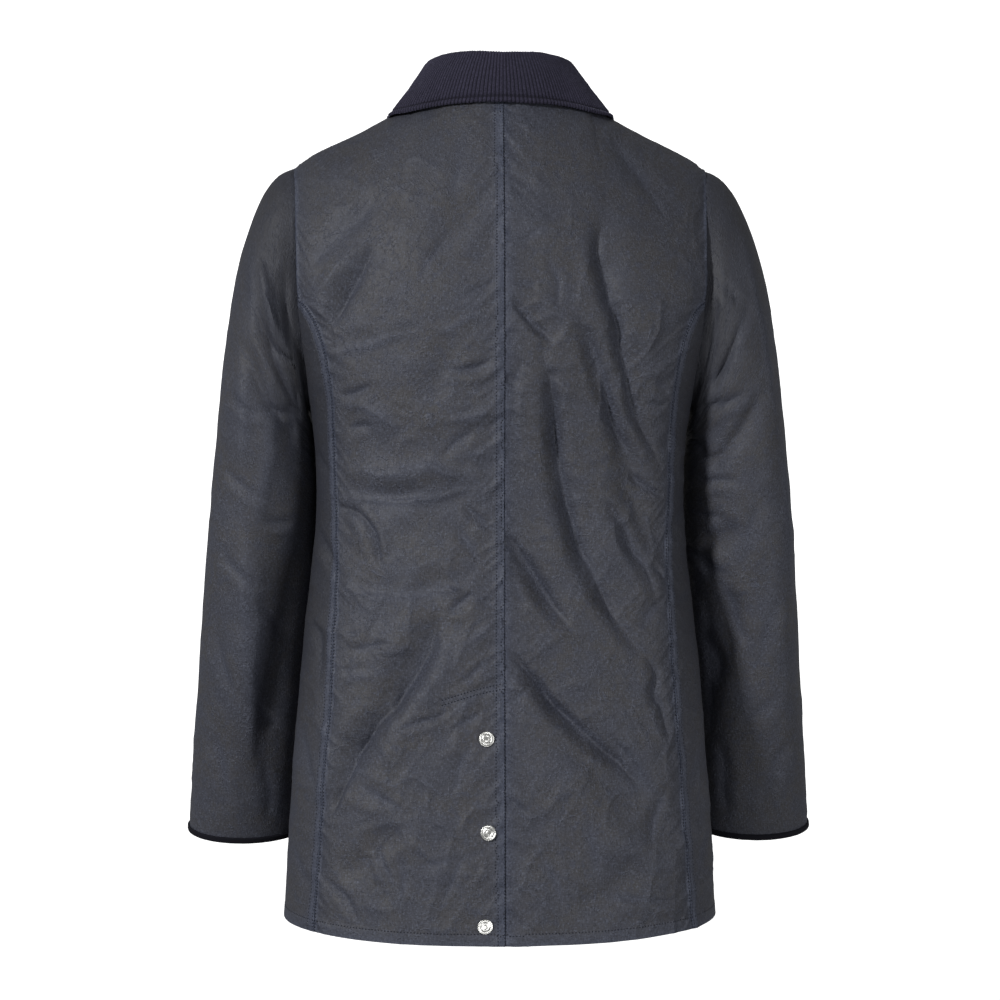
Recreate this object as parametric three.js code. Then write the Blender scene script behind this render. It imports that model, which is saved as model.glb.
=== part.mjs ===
// A hip-length waxed cotton jacket in the hollow shape it has when it is worn, buttoned, with its arms hanging.
// Millimetres. +Z is up, +X is the wearer's left and -Y the wearer's front.
// The origin is midway between the two neck points, where the shoulder seams meet the collar.
import * as THREE from "three";

// Cloth and seams.
const CLOTH = 2; // thickness of a cloth wall
const SEAM_GAP = 0.3; // between two pieces at a seam
const LAYER_GAP = 0.4; // between a piece and the panel that it lies on
const DEGREE = Math.PI / 180;

// Heights of the hem at the centre back, the side seam and the centre front, and of the armpit.
const HEM = { back: -777.5, side: -769, front: -768 };
const ARMPIT_Z = -295;

// Neckline: half width, its middle, how far it goes back and forward, and how far it drops there.
const NECK = { half: 75, y: -5, back: 67, backDrop: 8, front: 72, frontDrop: 88 };
const PANEL_COLUMNS = 11; // columns of a half panel's grid
const NECK_COLUMNS = 4; // of them, those that end on the neckline
const NECK_SHARE = NECK_COLUMNS / PANEL_COLUMNS;
const SHOULDER = { x: 197, y: -8, z: -67 }; // where the shoulder seam meets the sleeve
const SHOULDER_CURVE = { sag: 2, bulge: 4.6 }; // how far that seam dips near the neck and rises near the sleeve

// Armhole: how far its edge has moved from the side seam, in degrees round the body, behind and in front.
const ARMHOLE = { back: 30, front: 35 };
const SHOULDER_ROUND = 0.8; // how full the cloth is as it closes over the shoulder
const ROLL = { neckline: 62, shoulder: 88 }; // how flat it lies where it ends, in degrees

// Sections of the body: half width, depth behind and in front of the side seams, and squareness.
const BODY = [
  { z: -790, half: 205, back: 127, front: 130, square: 2.5 },
  { z: -665, half: 198, back: 122, front: 126, square: 2.5 },
  { z: -570, half: 191, back: 114, front: 121, square: 2.45 },
  { z: -484, half: 183, back: 105.5, front: 117, square: 2.42 },
  { z: -410, half: 175, back: 101, front: 114, square: 2.35 },
  { z: -350, half: 174, back: 102.5, front: 114.5, square: 2.35 },
  { z: -295, half: 180, back: 109, front: 119, square: 2.4 },
  { z: -200, half: 204, back: 118, front: 123, square: 2.5 },
  { z: -100, half: 211, back: 120, front: 116, square: 2.5 },
  { z: 10, half: 208, back: 118, front: 100, square: 2.5 },
];

// The seam between the centre back panel and the side panel, from the hem up to the armhole.
const SIDE_BACK_SEAM = [
  { z: -790, x: 174 },
  { z: -694, x: 168 },
  { z: -646, x: 164 },
  { z: -570, x: 158 },
  { z: -513, x: 155 },
  { z: -437, x: 153 },
  { z: -370, x: 154 },
  { z: -313, x: 156 },
  { z: -285, x: 157 },
  { z: -252, x: 162 },
  { z: -223, x: 170 },
  { z: -200, x: 179 },
];
const SIDE_PANEL_TOP_Z = -206; // height near which the side panel runs out into the armhole
const SIDE_PANEL_TIP = 1.6; // width that is left of it there

// The largest folds: a curve from a past b to c on the body, in x and z as seen from behind, its half
// width and its depth along the cloth's own outward direction. Troughs are negative.
const FOLDS = [
  { face: 1, ax: 150, az: -378, bx: 90, bz: -386, cx: 26, cz: -376, width: 13, depth: -6 },
  { face: 1, ax: 148, az: -358, bx: 90, bz: -362, cx: 34, cz: -354, width: 14, depth: 3 },
  { face: 1, ax: 145, az: -392, bx: 112, bz: -398, cx: 112, cz: -430, width: 12, depth: 3 },
  { face: 1, ax: 143, az: -460, bx: 88, bz: -476, cx: 28, cz: -449, width: 13, depth: -4 },
  { face: 1, ax: 50, az: -482, bx: 96, bz: -530, cx: 157, cz: -650, width: 17, depth: -7 },
  { face: 1, ax: 46, az: -520, bx: 96, bz: -575, cx: 128, cz: -660, width: 13, depth: 4 },
  { face: 1, ax: 150, az: -722, bx: 120, bz: -705, cx: 92, cz: -668, width: 13, depth: -4 },
  { face: 1, ax: 157, az: -249, bx: 122, bz: -238, cx: 72, cz: -232, width: 12, depth: -3 },
  { face: 1, ax: 158, az: -216, bx: 126, bz: -176, cx: 106, cz: -126, width: 15, depth: -5 },
  { face: 1, ax: 178, az: -166, bx: 148, bz: -132, cx: 112, cz: -100, width: 15, depth: -3 },
  { face: 1, ax: 68, az: -164, bx: 44, bz: -136, cx: 20, cz: -100, width: 14, depth: -3 },
  { face: 1, ax: 74, az: -300, bx: 60, bz: -270, cx: 40, cz: -232, width: 14, depth: -3 },
  { face: 1, ax: -90, az: -108, bx: -90, bz: -220, cx: -144, cz: -338, width: 14, depth: -7 },
  { face: 1, ax: -72, az: -216, bx: -92, bz: -300, cx: -150, cz: -456, width: 14, depth: -6 },
  { face: 1, ax: -42, az: -262, bx: -46, bz: -400, cx: -128, cz: -524, width: 16, depth: -7 },
  { face: 1, ax: -6, az: -198, bx: -28, bz: -222, cx: -50, cz: -238, width: 11, depth: -4 },
  { face: 1, ax: -6, az: -412, bx: -24, bz: -450, cx: -54, cz: -498, width: 13, depth: -5 },
  { face: 1, ax: -4, az: -512, bx: -70, bz: -580, cx: -160, cz: -706, width: 18, depth: -7 },
  { face: 1, ax: -8, az: -560, bx: -60, bz: -640, cx: -120, cz: -716, width: 18, depth: 4 },
  { face: 1, ax: -56, az: -746, bx: -96, bz: -742, cx: -122, cz: -700, width: 14, depth: -4 },
  { face: 1, ax: -96, az: -40, bx: -124, bz: -66, cx: -150, cz: -118, width: 12, depth: -3 },
  { face: -1, ax: 150, az: -396, bx: 98, bz: -404, cx: 46, cz: -388, width: 15, depth: -5 },
  { face: -1, ax: -152, az: -402, bx: -104, bz: -416, cx: -48, cz: -396, width: 15, depth: -5 },
  { face: -1, ax: 148, az: -262, bx: 112, bz: -250, cx: 84, cz: -214, width: 15, depth: -5 },
  { face: -1, ax: -150, az: -268, bx: -116, bz: -250, cx: -90, cz: -208, width: 15, depth: -5 },
  { face: -1, ax: 46, az: -300, bx: 86, bz: -330, cx: 146, cz: -344, width: 14, depth: -3 },
  { face: -1, ax: -44, az: -296, bx: -92, bz: -328, cx: -148, cz: -338, width: 14, depth: -3 },
  { face: -1, ax: 50, az: -500, bx: 92, bz: -590, cx: 150, cz: -660, width: 18, depth: -6 },
  { face: -1, ax: -52, az: -490, bx: -90, bz: -600, cx: -138, cz: -690, width: 18, depth: -6 },
  { face: -1, ax: 60, az: -640, bx: 92, bz: -690, cx: 118, cz: -752, width: 16, depth: -4 },
  { face: -1, ax: -150, az: -520, bx: -110, bz: -498, cx: -70, cz: -448, width: 15, depth: -4 },
];
const BODY_HALF_GIRTH = 260; // about the width of a quarter of the body, for small distances
const FOLD_STEPS = 10; // straight steps that a fold's curve is measured along

// The sleeve: its outer and inner lines as seen from behind, its middle and half depth front to back, and how
// far its inner line lies ahead of its outer one.
const SLEEVE = [
  { along: 0, outX: 197, outZ: -68, inX: 178, inZ: -295, y: -6, depth: 66, ahead: 0 },
  { along: 15, outX: 210, outZ: -75, inX: 182, inZ: -297.5, y: -6, depth: 66, ahead: 0 },
  { along: 31, outX: 220, outZ: -87, inX: 182.5, inZ: -301, y: -6, depth: 66, ahead: 1 },
  { along: 48, outX: 228, outZ: -102, inX: 182, inZ: -305, y: -6, depth: 66, ahead: 3 },
  { along: 70, outX: 236, outZ: -123, inX: 181.5, inZ: -309, y: -6, depth: 67, ahead: 6 },
  { along: 98, outX: 244, outZ: -150, inX: 180.5, inZ: -314, y: -7, depth: 68, ahead: 10 },
  { along: 126, outX: 250, outZ: -177, inX: 179.5, inZ: -319, y: -7, depth: 68, ahead: 14 },
  { along: 153, outX: 254.5, outZ: -204, inX: 178.5, inZ: -324, y: -8, depth: 68, ahead: 18 },
  { along: 218, outX: 263.5, outZ: -269, inX: 175.5, inZ: -340, y: -10, depth: 66, ahead: 25 },
  { along: 266, outX: 268, outZ: -316, inX: 173, inZ: -361, y: -13, depth: 64, ahead: 27 },
  { along: 343, outX: 275, outZ: -393, inX: 173, inZ: -417, y: -21, depth: 60, ahead: 28 },
  { along: 416, outX: 281.5, outZ: -465, inX: 178, inZ: -477, y: -34, depth: 56, ahead: 22 },
  { along: 489, outX: 288, outZ: -538, inX: 186, inZ: -544, y: -50, depth: 52, ahead: 10 },
  { along: 563, outX: 294.5, outZ: -612, inX: 191, inZ: -614, y: -68, depth: 47, ahead: 0 },
  { along: 654, outX: 301.5, outZ: -702, inX: 193, inZ: -702, y: -88, depth: 42, ahead: 0 },
];
// The wearer's right arm hangs a little further out: how far at the shoulder and at the cuff.
const RIGHT_ARM_OUT = { shoulder: 2, cuff: 7 };
const SLEEVE_LENGTH = 654; // from the shoulder to the cuff, along the outer line
const ARMHOLE_BLEND = 120; // how far down the sleeve the armhole's own outline is felt
const LEAN = 12; // forward lean of the forearm at the cuff, in degrees

// Folds of the sleeves: a curve in degrees round the sleeve, from its outer line over the back, and mm down it.
const SLEEVE_FOLDS = [
  { side: 1, aTurn: 60, aAlong: 150, bTurn: 88, bAlong: 196, cTurn: 128, cAlong: 206, width: 15, depth: -6 },
  { side: 1, aTurn: 70, aAlong: 96, bTurn: 96, bAlong: 126, cTurn: 130, cAlong: 128, width: 14, depth: -5 },
  { side: 1, aTurn: 74, aAlong: 300, bTurn: 84, bAlong: 420, cTurn: 64, cAlong: 560, width: 20, depth: 4 },
  { side: 1, aTurn: 128, aAlong: 330, bTurn: 116, bAlong: 440, cTurn: 112, cAlong: 600, width: 17, depth: -5 },
  { side: 1, aTurn: 250, aAlong: 330, bTurn: 268, bAlong: 360, cTurn: 300, cAlong: 362, width: 16, depth: -5 },
  { side: 1, aTurn: 232, aAlong: 190, bTurn: 262, bAlong: 180, cTurn: 292, cAlong: 140, width: 16, depth: -5 },
  { side: -1, aTurn: 62, aAlong: 96, bTurn: 92, bAlong: 112, cTurn: 124, cAlong: 96, width: 13, depth: -5 },
  { side: -1, aTurn: 60, aAlong: 200, bTurn: 92, bAlong: 236, cTurn: 126, cAlong: 262, width: 15, depth: -6 },
  { side: -1, aTurn: 92, aAlong: 330, bTurn: 112, bAlong: 352, cTurn: 138, cAlong: 350, width: 14, depth: -6 },
  { side: -1, aTurn: 106, aAlong: 400, bTurn: 112, bAlong: 440, cTurn: 120, cAlong: 500, width: 16, depth: -6 },
  { side: -1, aTurn: 56, aAlong: 320, bTurn: 60, bAlong: 440, cTurn: 50, cAlong: 560, width: 19, depth: 3 },
  { side: -1, aTurn: 246, aAlong: 336, bTurn: 270, bAlong: 366, cTurn: 304, cAlong: 372, width: 16, depth: -5 },
  { side: -1, aTurn: 234, aAlong: 176, bTurn: 264, bAlong: 168, cTurn: 290, cAlong: 130, width: 16, depth: -5 },
];

// Collar: the crest of its fold, and its lower edge as x and z on the body under it, by degrees from the back.
const COLLAR = [
  { turn: 0, foldX: 0, foldY: 68, foldZ: 31, edgeX: 0, edgeZ: -21 },
  { turn: 30, foldX: 32, foldY: 60, foldZ: 32.5, edgeX: 48, edgeZ: -22 },
  { turn: 60, foldX: 57, foldY: 34, foldZ: 33.5, edgeX: 83, edgeZ: -23 },
  { turn: 85, foldX: 69, foldY: 3, foldZ: 31, edgeX: 103, edgeZ: -19 },
  { turn: 110, foldX: 66, foldY: -26, foldZ: 20, edgeX: 107, edgeZ: -32 },
  { turn: 135, foldX: 52, foldY: -53, foldZ: -3, edgeX: 99, edgeZ: -64 },
  { turn: 160, foldX: 26, foldY: -76, foldZ: -37, edgeX: 76, edgeZ: -104 },
  { turn: 178, foldX: 3, foldY: -84, foldZ: -58, edgeX: 46, edgeZ: -142 },
];
const COLLAR_END = 178; // degrees from the back at which the two ends of the collar stop
const COLLAR_CLEAR = 3; // of the edge's outer face above the body's cloth
const COLLAR_CROWN = 3; // how far the fall bows out between its fold and its edge
const FOLD_ROLL = 3; // radius of the roll at the fold
const WALES = 160; // corduroy wales round the collar
const WALE_HEIGHT = 0.4;
const STAND_RISE = 1; // of the stand's foot above the panels' neckline

// Vent in the centre back: its top, and the width of the underlap behind the wearer's left panel.
const VENT = { topZ: -545, lap: 58, sewn: 12, hemRise: 4, clear: 2.4 };
// Front: the left front laps over the right one under a fly that carries the studs.
const FLY = { half: 29, topInset: 7, hemRise: 3, thickness: 1.6 };
// Binding round each cuff.
const BINDING = { height: 6, cover: 1.3, below: 1.2 };
// Snap studs: a domed cap with a flat rim.
const STUD = { radius: 7.4, rim: 1.1, dome: 2.6, sides: 14 };
const VENT_STUDS = [
  { x: 16.5, z: -594 },
  { x: 15, z: -677 },
  { x: 18, z: -760 },
];
const FRONT_STUDS = { count: 6, first: -128, last: -716 };

// Grid of the solids.
const ARMHOLE_ROWS = 10;
const SKIRT_ROWS = 17;
const SIDE_COLUMNS = 4;
const SLEEVE_ROWS = 24;

// Small helpers.
const mix = (a, b, t) => a + (b - a) * t;
const clamp = (value, low, high) => Math.min(Math.max(value, low), high);
const ease = (t) => {
  const c = clamp(t, 0, 1);
  return c * c * (3 - 2 * c);
};
const power = (value, exponent) => Math.max(value, 0) ** exponent;

// A smooth curve through the rows of a table, for every column, by the column named key.
function sampler(rows, key) {
  const names = Object.keys(rows[0]).filter((name) => name !== key);
  return (value) => {
    let k = 0;
    while (k < rows.length - 2 && value > rows[k + 1][key]) k++;
    const [a, b] = [rows[k], rows[k + 1]];
    const before = rows[Math.max(k - 1, 0)];
    const after = rows[Math.min(k + 2, rows.length - 1)];
    const span = b[key] - a[key];
    const t = clamp((value - a[key]) / span, 0, 1);
    const result = {};
    for (const name of names) {
      const slopeA = (span * (b[name] - before[name])) / (b[key] - before[key]);
      const slopeB = (span * (after[name] - a[name])) / (after[key] - a[key]);
      const bend = a[name] - b[name];
      result[name] =
        a[name] + t * slopeA + t * t * (-3 * bend - 2 * slopeA - slopeB) + t ** 3 * (2 * bend + slopeA + slopeB);
    }
    return result;
  };
}
const bodySection = sampler(BODY, "z");
const sideBackSeam = sampler(SIDE_BACK_SEAM, "z");
const sleeveSection = sampler(SLEEVE, "along");
const collarSection = sampler(COLLAR, "turn");

// Depth of one fold at a point of its own flat view: full in its middle, fading at its ends.
function foldAt(x, z, a, b, c, width, depth) {
  let nearest = Infinity;
  let along = 0;
  let [lastX, lastZ] = a;
  for (let k = 1; k <= FOLD_STEPS; k++) {
    const s = k / FOLD_STEPS;
    const nextX = (1 - s) ** 2 * a[0] + 2 * s * (1 - s) * b[0] + s * s * c[0];
    const nextZ = (1 - s) ** 2 * a[1] + 2 * s * (1 - s) * b[1] + s * s * c[1];
    const [dx, dz] = [nextX - lastX, nextZ - lastZ];
    const t = clamp(((x - lastX) * dx + (z - lastZ) * dz) / (dx * dx + dz * dz), 0, 1);
    const gap = Math.hypot(x - lastX - t * dx, z - lastZ - t * dz);
    if (gap < nearest) {
      nearest = gap;
      along = (k - 1 + t) / FOLD_STEPS;
    }
    [lastX, lastZ] = [nextX, nextZ];
  }
  return depth * Math.exp(-((nearest / width) ** 2)) * (1 - Math.abs(2 * along - 1) ** 3);
}

// Where a half panel's top edge runs: the neckline, then the shoulder seam. face is 1 behind and -1 in front.
function topEdge(face, u) {
  if (u < NECK_SHARE) {
    const turn = (u / NECK_SHARE) * 90 * DEGREE;
    const reach = face > 0 ? NECK.back : -NECK.front;
    const drop = face > 0 ? NECK.backDrop : NECK.frontDrop;
    return { x: NECK.half * Math.sin(turn), y: NECK.y + reach * Math.cos(turn), z: -drop * Math.cos(turn) };
  }
  const t = (u - NECK_SHARE) / (1 - NECK_SHARE);
  const bulge = SHOULDER_CURVE.bulge * Math.sin(Math.PI * t ** 3) - SHOULDER_CURVE.sag * Math.sin(Math.PI * t);
  return { x: mix(NECK.half, SHOULDER.x, t), y: mix(NECK.y, SHOULDER.y, t), z: SHOULDER.z * t + bulge };
}

// The body with no folds. u runs from the centre line to the side seam or armhole, v from 0 at the hem to 1
// at the armpit and 2 at the neckline and shoulder seam.
function plainBody(side, face, u, v) {
  const yoke = Math.max(v - 1, 0);
  const top = topEdge(face, u);
  const roll = mix(ROLL.neckline, ROLL.shoulder, ease(u / NECK_SHARE)) * DEGREE;
  const rise = yoke * roll;
  const hem = mix(face > 0 ? HEM.back : HEM.front, HEM.side, ease(u));
  const z = v <= 1 ? mix(hem, ARMPIT_Z, v) : mix(ARMPIT_Z, top.z, Math.sin(rise) / Math.sin(roll));
  const section = bodySection(z);
  const opened = (face > 0 ? ARMHOLE.back : ARMHOLE.front) * Math.sqrt(1 - (1 - yoke) ** 4);
  const turn = (90 - u * (90 - opened)) * DEGREE;
  const round = 2 / section.square;
  const depth = face * (face > 0 ? section.back : section.front);
  const wide = section.half * power(Math.cos(turn), round);
  const deep = depth * power(Math.sin(turn), round);
  const flat = Math.cos(roll) ** SHOULDER_ROUND;
  const closing = (power(Math.cos(rise), SHOULDER_ROUND) - flat) / (1 - flat);
  const x = v <= 1 ? wide : mix(wide, top.x, yoke ** 2);
  const y = v <= 1 ? deep : mix(top.y, deep, closing);
  return new THREE.Vector3(side * x, y, z);
}

// Outward direction of a surface that is given as a function of u and v.
function normalOf(surface, u, v, turn, uEnd = 1, vEnd = 2) {
  const step = 1e-3;
  const across = surface(Math.min(u + step, uEnd), v).sub(surface(Math.max(u - step, 0), v));
  const up = surface(u, Math.min(v + step, vEnd)).sub(surface(u, Math.max(v - step, 0)));
  return across.cross(up).multiplyScalar(turn).normalize();
}

// The body's outer face with its folds.
function body(side, face, u, v) {
  const plain = (s, t) => plainBody(side, face, s, t);
  const point = plain(u, v);
  const fade = (1 - u ** 10) * (1 - Math.max(v - 1, 0) ** 8);
  let depth = 0;
  for (const f of FOLDS) {
    if (f.face !== face) continue;
    depth += foldAt(point.x, point.z, [f.ax, f.az], [f.bx, f.bz], [f.cx, f.cz], f.width, f.depth);
  }
  return point.addScaledVector(normalOf(plain, u, v, -side * face), depth * fade);
}
const bodyNormal = (side, face, u, v) => normalOf((s, t) => body(side, face, s, t), u, v, -side * face);

// The direction of a wall's thickness. On a seam it lies in the seam's own plane, so that both edges match.
function thicknessDirection(side, face, u, v) {
  const normal = bodyNormal(side, face, u, v);
  if (u < 0.01) normal.x = 0;
  if (u > 0.99 && v <= 1) normal.y = 0;
  if (u > NECK_SHARE && v > 1.99) normal.y = 0;
  return normal.normalize();
}

// The height share v at which a column u of the body has the height z.
function heightShare(side, face, u, z) {
  let [low, high] = [0, 2];
  for (let k = 0; k < 40; k++) {
    const middle = (low + high) / 2;
    if (plainBody(side, face, u, middle).z < z) low = middle;
    else high = middle;
  }
  return (low + high) / 2;
}

// The share u at which row v of the body is x away from the centre line.
function widthShare(side, face, v, x) {
  let [low, high] = [0, 1];
  for (let k = 0; k < 40; k++) {
    const middle = (low + high) / 2;
    if (Math.abs(plainBody(side, face, middle, v).x) < x) low = middle;
    else high = middle;
  }
  return (low + high) / 2;
}

// The shares u and v of the body's point at x, z.
function bodyShares(face, x, z) {
  const side = x < 0 ? -1 : 1;
  let u = 0.3;
  let v = 1;
  for (let k = 0; k < 30; k++) {
    v = heightShare(side, face, u, z);
    u = widthShare(side, face, v, Math.abs(x));
  }
  return { side, u, v };
}

// A closed wall from pairs of points, outer and inner, on a grid. A wrapped grid closes on itself.
function wall(columns, rows, pair, wrapped = false) {
  const across = wrapped ? columns : columns + 1;
  const positions = [];
  for (let layer = 0; layer < 2; layer++)
    for (let j = 0; j <= rows; j++)
      for (let i = 0; i < across; i++) positions.push(...pair(i, j)[layer].toArray());
  const index = (layer, i, j) => layer * across * (rows + 1) + j * across + (i % across);
  const faces = [];
  const quad = (a, b, c, d) => faces.push(a, b, c, a, c, d);
  for (let j = 0; j < rows; j++)
    for (let i = 0; i < columns; i++) {
      quad(index(0, i, j), index(0, i + 1, j), index(0, i + 1, j + 1), index(0, i, j + 1));
      quad(index(1, i, j), index(1, i, j + 1), index(1, i + 1, j + 1), index(1, i + 1, j));
    }
  for (let i = 0; i < columns; i++) {
    quad(index(0, i, 0), index(1, i, 0), index(1, i + 1, 0), index(0, i + 1, 0));
    quad(index(0, i, rows), index(0, i + 1, rows), index(1, i + 1, rows), index(1, i, rows));
  }
  if (!wrapped)
    for (let j = 0; j < rows; j++) {
      quad(index(0, 0, j), index(0, 0, j + 1), index(1, 0, j + 1), index(1, 0, j));
      quad(index(0, columns, j), index(1, columns, j), index(1, columns, j + 1), index(0, columns, j + 1));
    }
  return facingOut(positions, faces);
}

// A geometry from points and triangles, turned so that its faces point out.
function facingOut(positions, faces) {
  const at = (k) => new THREE.Vector3(...positions.slice(3 * k, 3 * k + 3));
  let volume = 0;
  for (let k = 0; k < faces.length; k += 3) volume += at(faces[k]).dot(at(faces[k + 1]).cross(at(faces[k + 2])));
  if (volume < 0) for (let k = 0; k < faces.length; k += 3) [faces[k], faces[k + 1]] = [faces[k + 1], faces[k]];
  const geometry = new THREE.BufferGeometry();
  geometry.setAttribute("position", new THREE.Float32BufferAttribute(positions, 3));
  geometry.setIndex(faces);
  return geometry;
}

// Rows of the yoke lie closer near the armpit, where the armhole's edge turns.
const yokeRow = (k) => 1 + (k / ARMHOLE_ROWS) ** 1.5;
const bodyRow = (j) => (j <= SKIRT_ROWS ? j / SKIRT_ROWS : yokeRow(j - SKIRT_ROWS));

// A panel of the body between two lines, each a function of v, held half a seam gap off both.
function bodyPanel(side, face, columns, rowValues, from, to) {
  const grid = rowValues.map((v) => {
    const [uFrom, uTo] = [from(v), to(v)];
    const middle = (uFrom + uTo) / 2;
    const step = 0.01;
    const near = body(side, face, Math.max(middle - step, 0), v);
    const stretch = body(side, face, Math.min(middle + step, 1), v).distanceTo(near) / (2 * step);
    const inset = SEAM_GAP / 2 / stretch;
    return Array.from({ length: columns + 1 }, (_, i) => {
      const u = mix(uFrom + inset, uTo - inset, i / columns);
      const outer = body(side, face, u, v);
      return [outer, outer.clone().addScaledVector(thicknessDirection(side, face, u, v), -CLOTH)];
    });
  });
  return wall(columns, rowValues.length - 1, (i, j) => grid[j][i]);
}

// The row of the grid on which the side panel's tip lies.
const TIP_ROW = Array.from({ length: ARMHOLE_ROWS }, (_, k) => yokeRow(k)).find(
  (v) => plainBody(1, 1, 0.8, v).z > SIDE_PANEL_TOP_Z,
);

// Rows from the hem to the shoulder, the last one held half a seam gap below the seam.
function panelRows() {
  const rows = Array.from({ length: SKIRT_ROWS + ARMHOLE_ROWS + 1 }, (_, j) => bodyRow(j));
  const seam = SEAM_GAP / 2 / 120;
  rows[rows.length - 1] = 2 - seam;
  return rows;
}

// Where the side-back seam crosses row v. It ends in a narrow tip, above which the centre panel reaches the armhole.
function seamShare(side, v) {
  const z = plainBody(side, 1, 0.8, v).z;
  if (v > TIP_ROW + 1e-6) return 1;
  if (v > TIP_ROW - 1e-6) return 1 - SIDE_PANEL_TIP / BODY_HALF_GIRTH;
  return widthShare(side, 1, v, sideBackSeam(z).x);
}

const centreBack = (side) => bodyPanel(side, 1, PANEL_COLUMNS, panelRows(), () => 0, (v) => seamShare(side, v));
const front = (side) => bodyPanel(side, -1, PANEL_COLUMNS, panelRows(), () => 0, () => 1);

// The side panel runs from the hem up into the armhole, where a narrow tip of it is left.
function sidePanel(side) {
  const rows = panelRows().filter((v) => v <= TIP_ROW + 1e-6);
  return bodyPanel(side, 1, SIDE_COLUMNS, rows, (v) => seamShare(side, v), () => 1);
}

// A strip on the body between two distances from the centre line, its outer face moved out by lift.
function strip(face, columns, heights, xFrom, xTo, lift, thickness) {
  const grid = heights.map((z) =>
    Array.from({ length: columns + 1 }, (_, i) => {
      const x = mix(xFrom, xTo, i / columns);
      const { side, u, v } = bodyShares(face, x, z);
      const [point, normal] = [body(side, face, u, v), bodyNormal(side, face, u, v)];
      return [point.clone().addScaledVector(normal, lift), point.clone().addScaledVector(normal, lift - thickness)];
    }),
  );
  return wall(columns, heights.length - 1, (i, j) => grid[j][i]);
}
const heightsBetween = (low, high, steps) => Array.from({ length: steps + 1 }, (_, k) => mix(low, high, k / steps));

// The underlap lies behind the wearer's left back panel and is sewn under the right one.
function ventUnderlap() {
  const heights = heightsBetween(HEM.back + VENT.hemRise, VENT.topZ, 9);
  return strip(1, 5, heights, -VENT.sewn, VENT.lap, -CLOTH - VENT.clear, CLOTH);
}

// The fly covers the meeting of the two fronts.
function frontFly() {
  const heights = heightsBetween(HEM.front + FLY.hemRise, -NECK.frontDrop - FLY.topInset, 26);
  return strip(-1, 4, heights, -FLY.half, FLY.half, LAYER_GAP + FLY.thickness, FLY.thickness);
}

// Angle round the sleeve of each armhole point: 0 on the outer line, 90 behind, 180 under the arm, 270 in front.
function sleeveTurns() {
  const back = [];
  for (let k = ARMHOLE_ROWS; k >= 0; k--) {
    const roll = ROLL.shoulder * DEGREE;
    const height = Math.sin((yokeRow(k) - 1) * roll) / Math.sin(roll);
    back.push({ turn: Math.acos(clamp(2 * height - 1, -1, 1)) / DEGREE, face: 1, v: yokeRow(k) });
  }
  const ahead = back.slice(1, -1).reverse();
  return [...back, ...ahead.map((row) => ({ turn: 360 - row.turn, face: -1, v: row.v }))];
}
const TURNS = sleeveTurns();

// A ring point of the plain sleeve, before the armhole's outline is blended in.
function plainSleeve(side, turn, along) {
  const s = sleeveSection(along);
  const [cos, sin] = [Math.cos(turn * DEGREE), Math.sin(turn * DEGREE)];
  const tilt = LEAN * ease(along / SLEEVE_LENGTH) * DEGREE;
  const out = side > 0 ? 0 : mix(RIGHT_ARM_OUT.shoulder, RIGHT_ARM_OUT.cuff, along / SLEEVE_LENGTH);
  const x = mix(s.inX, s.outX, (1 + cos) / 2) + out;
  const y = s.y + s.depth * sin * Math.cos(tilt) - (s.ahead * (1 - cos)) / 2;
  const z = mix(s.inZ, s.outZ, (1 + cos) / 2);
  return new THREE.Vector3(side * x, y, z - s.depth * sin * Math.sin(tilt));
}

// How far the armhole's edge lies from the plain sleeve's first ring, at each of its points.
const armholeOffsets = new Map(
  [1, -1].map((side) => [
    side,
    TURNS.map(({ turn, face, v }) => body(side, face, 1, v).sub(plainSleeve(side, turn, 0))),
  ]),
);

// The sleeve's outer face at one of its ring points, with the armhole's outline and the folds.
function sleeve(side, i, along) {
  const { turn } = TURNS[i];
  const point = plainSleeve(side, turn, along);
  const left = 1 - ease(along / ARMHOLE_BLEND);
  point.addScaledVector(armholeOffsets.get(side)[i], left);
  const width = Math.PI * sleeveSection(along).depth;
  let depth = 0;
  for (const f of SLEEVE_FOLDS) {
    if (f.side !== side) continue;
    const flat = (degrees) => (degrees / 180) * width;
    const ends = [
      [flat(f.aTurn), f.aAlong],
      [flat(f.bTurn), f.bAlong],
      [flat(f.cTurn), f.cAlong],
    ];
    depth += foldAt(flat(turn), along, ...ends, f.width, f.depth);
  }
  const middle = sleeveSection(along);
  const centre = new THREE.Vector3((side * (middle.outX + middle.inX)) / 2, middle.y, (middle.outZ + middle.inZ) / 2);
  const outward = point.clone().sub(centre).normalize();
  return point.addScaledVector(outward, depth * ease(along / 60));
}

// Rows of the sleeve lie closer over the shoulder.
const sleeveRow = (j) => SLEEVE_LENGTH * (j / SLEEVE_ROWS) ** 1.25;

// Outer and inner points of the sleeve's wall, on a grid of its ring points and rows.
function sleeveGrid(side) {
  const count = TURNS.length;
  const outer = [];
  for (let j = 0; j <= SLEEVE_ROWS; j++) {
    const gap = new THREE.Vector3(j === 0 ? side * SEAM_GAP : 0, 0, 0);
    outer.push(TURNS.map((_, i) => sleeve(side, i, sleeveRow(j)).add(gap)));
  }
  return outer.map((ring, j) =>
    ring.map((point, i) => {
      const around = ring[(i + 1) % count].clone().sub(ring[(i + count - 1) % count]);
      const down = outer[Math.min(j + 1, SLEEVE_ROWS)][i].clone().sub(outer[Math.max(j - 1, 0)][i]);
      const normal = down.cross(around).multiplyScalar(side).normalize();
      return [point, point.clone().addScaledVector(normal, -CLOTH), normal];
    }),
  );
}

function sleeveTube(side) {
  const grid = sleeveGrid(side);
  return wall(TURNS.length, SLEEVE_ROWS, (i, j) => grid[j][i], true);
}

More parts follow.
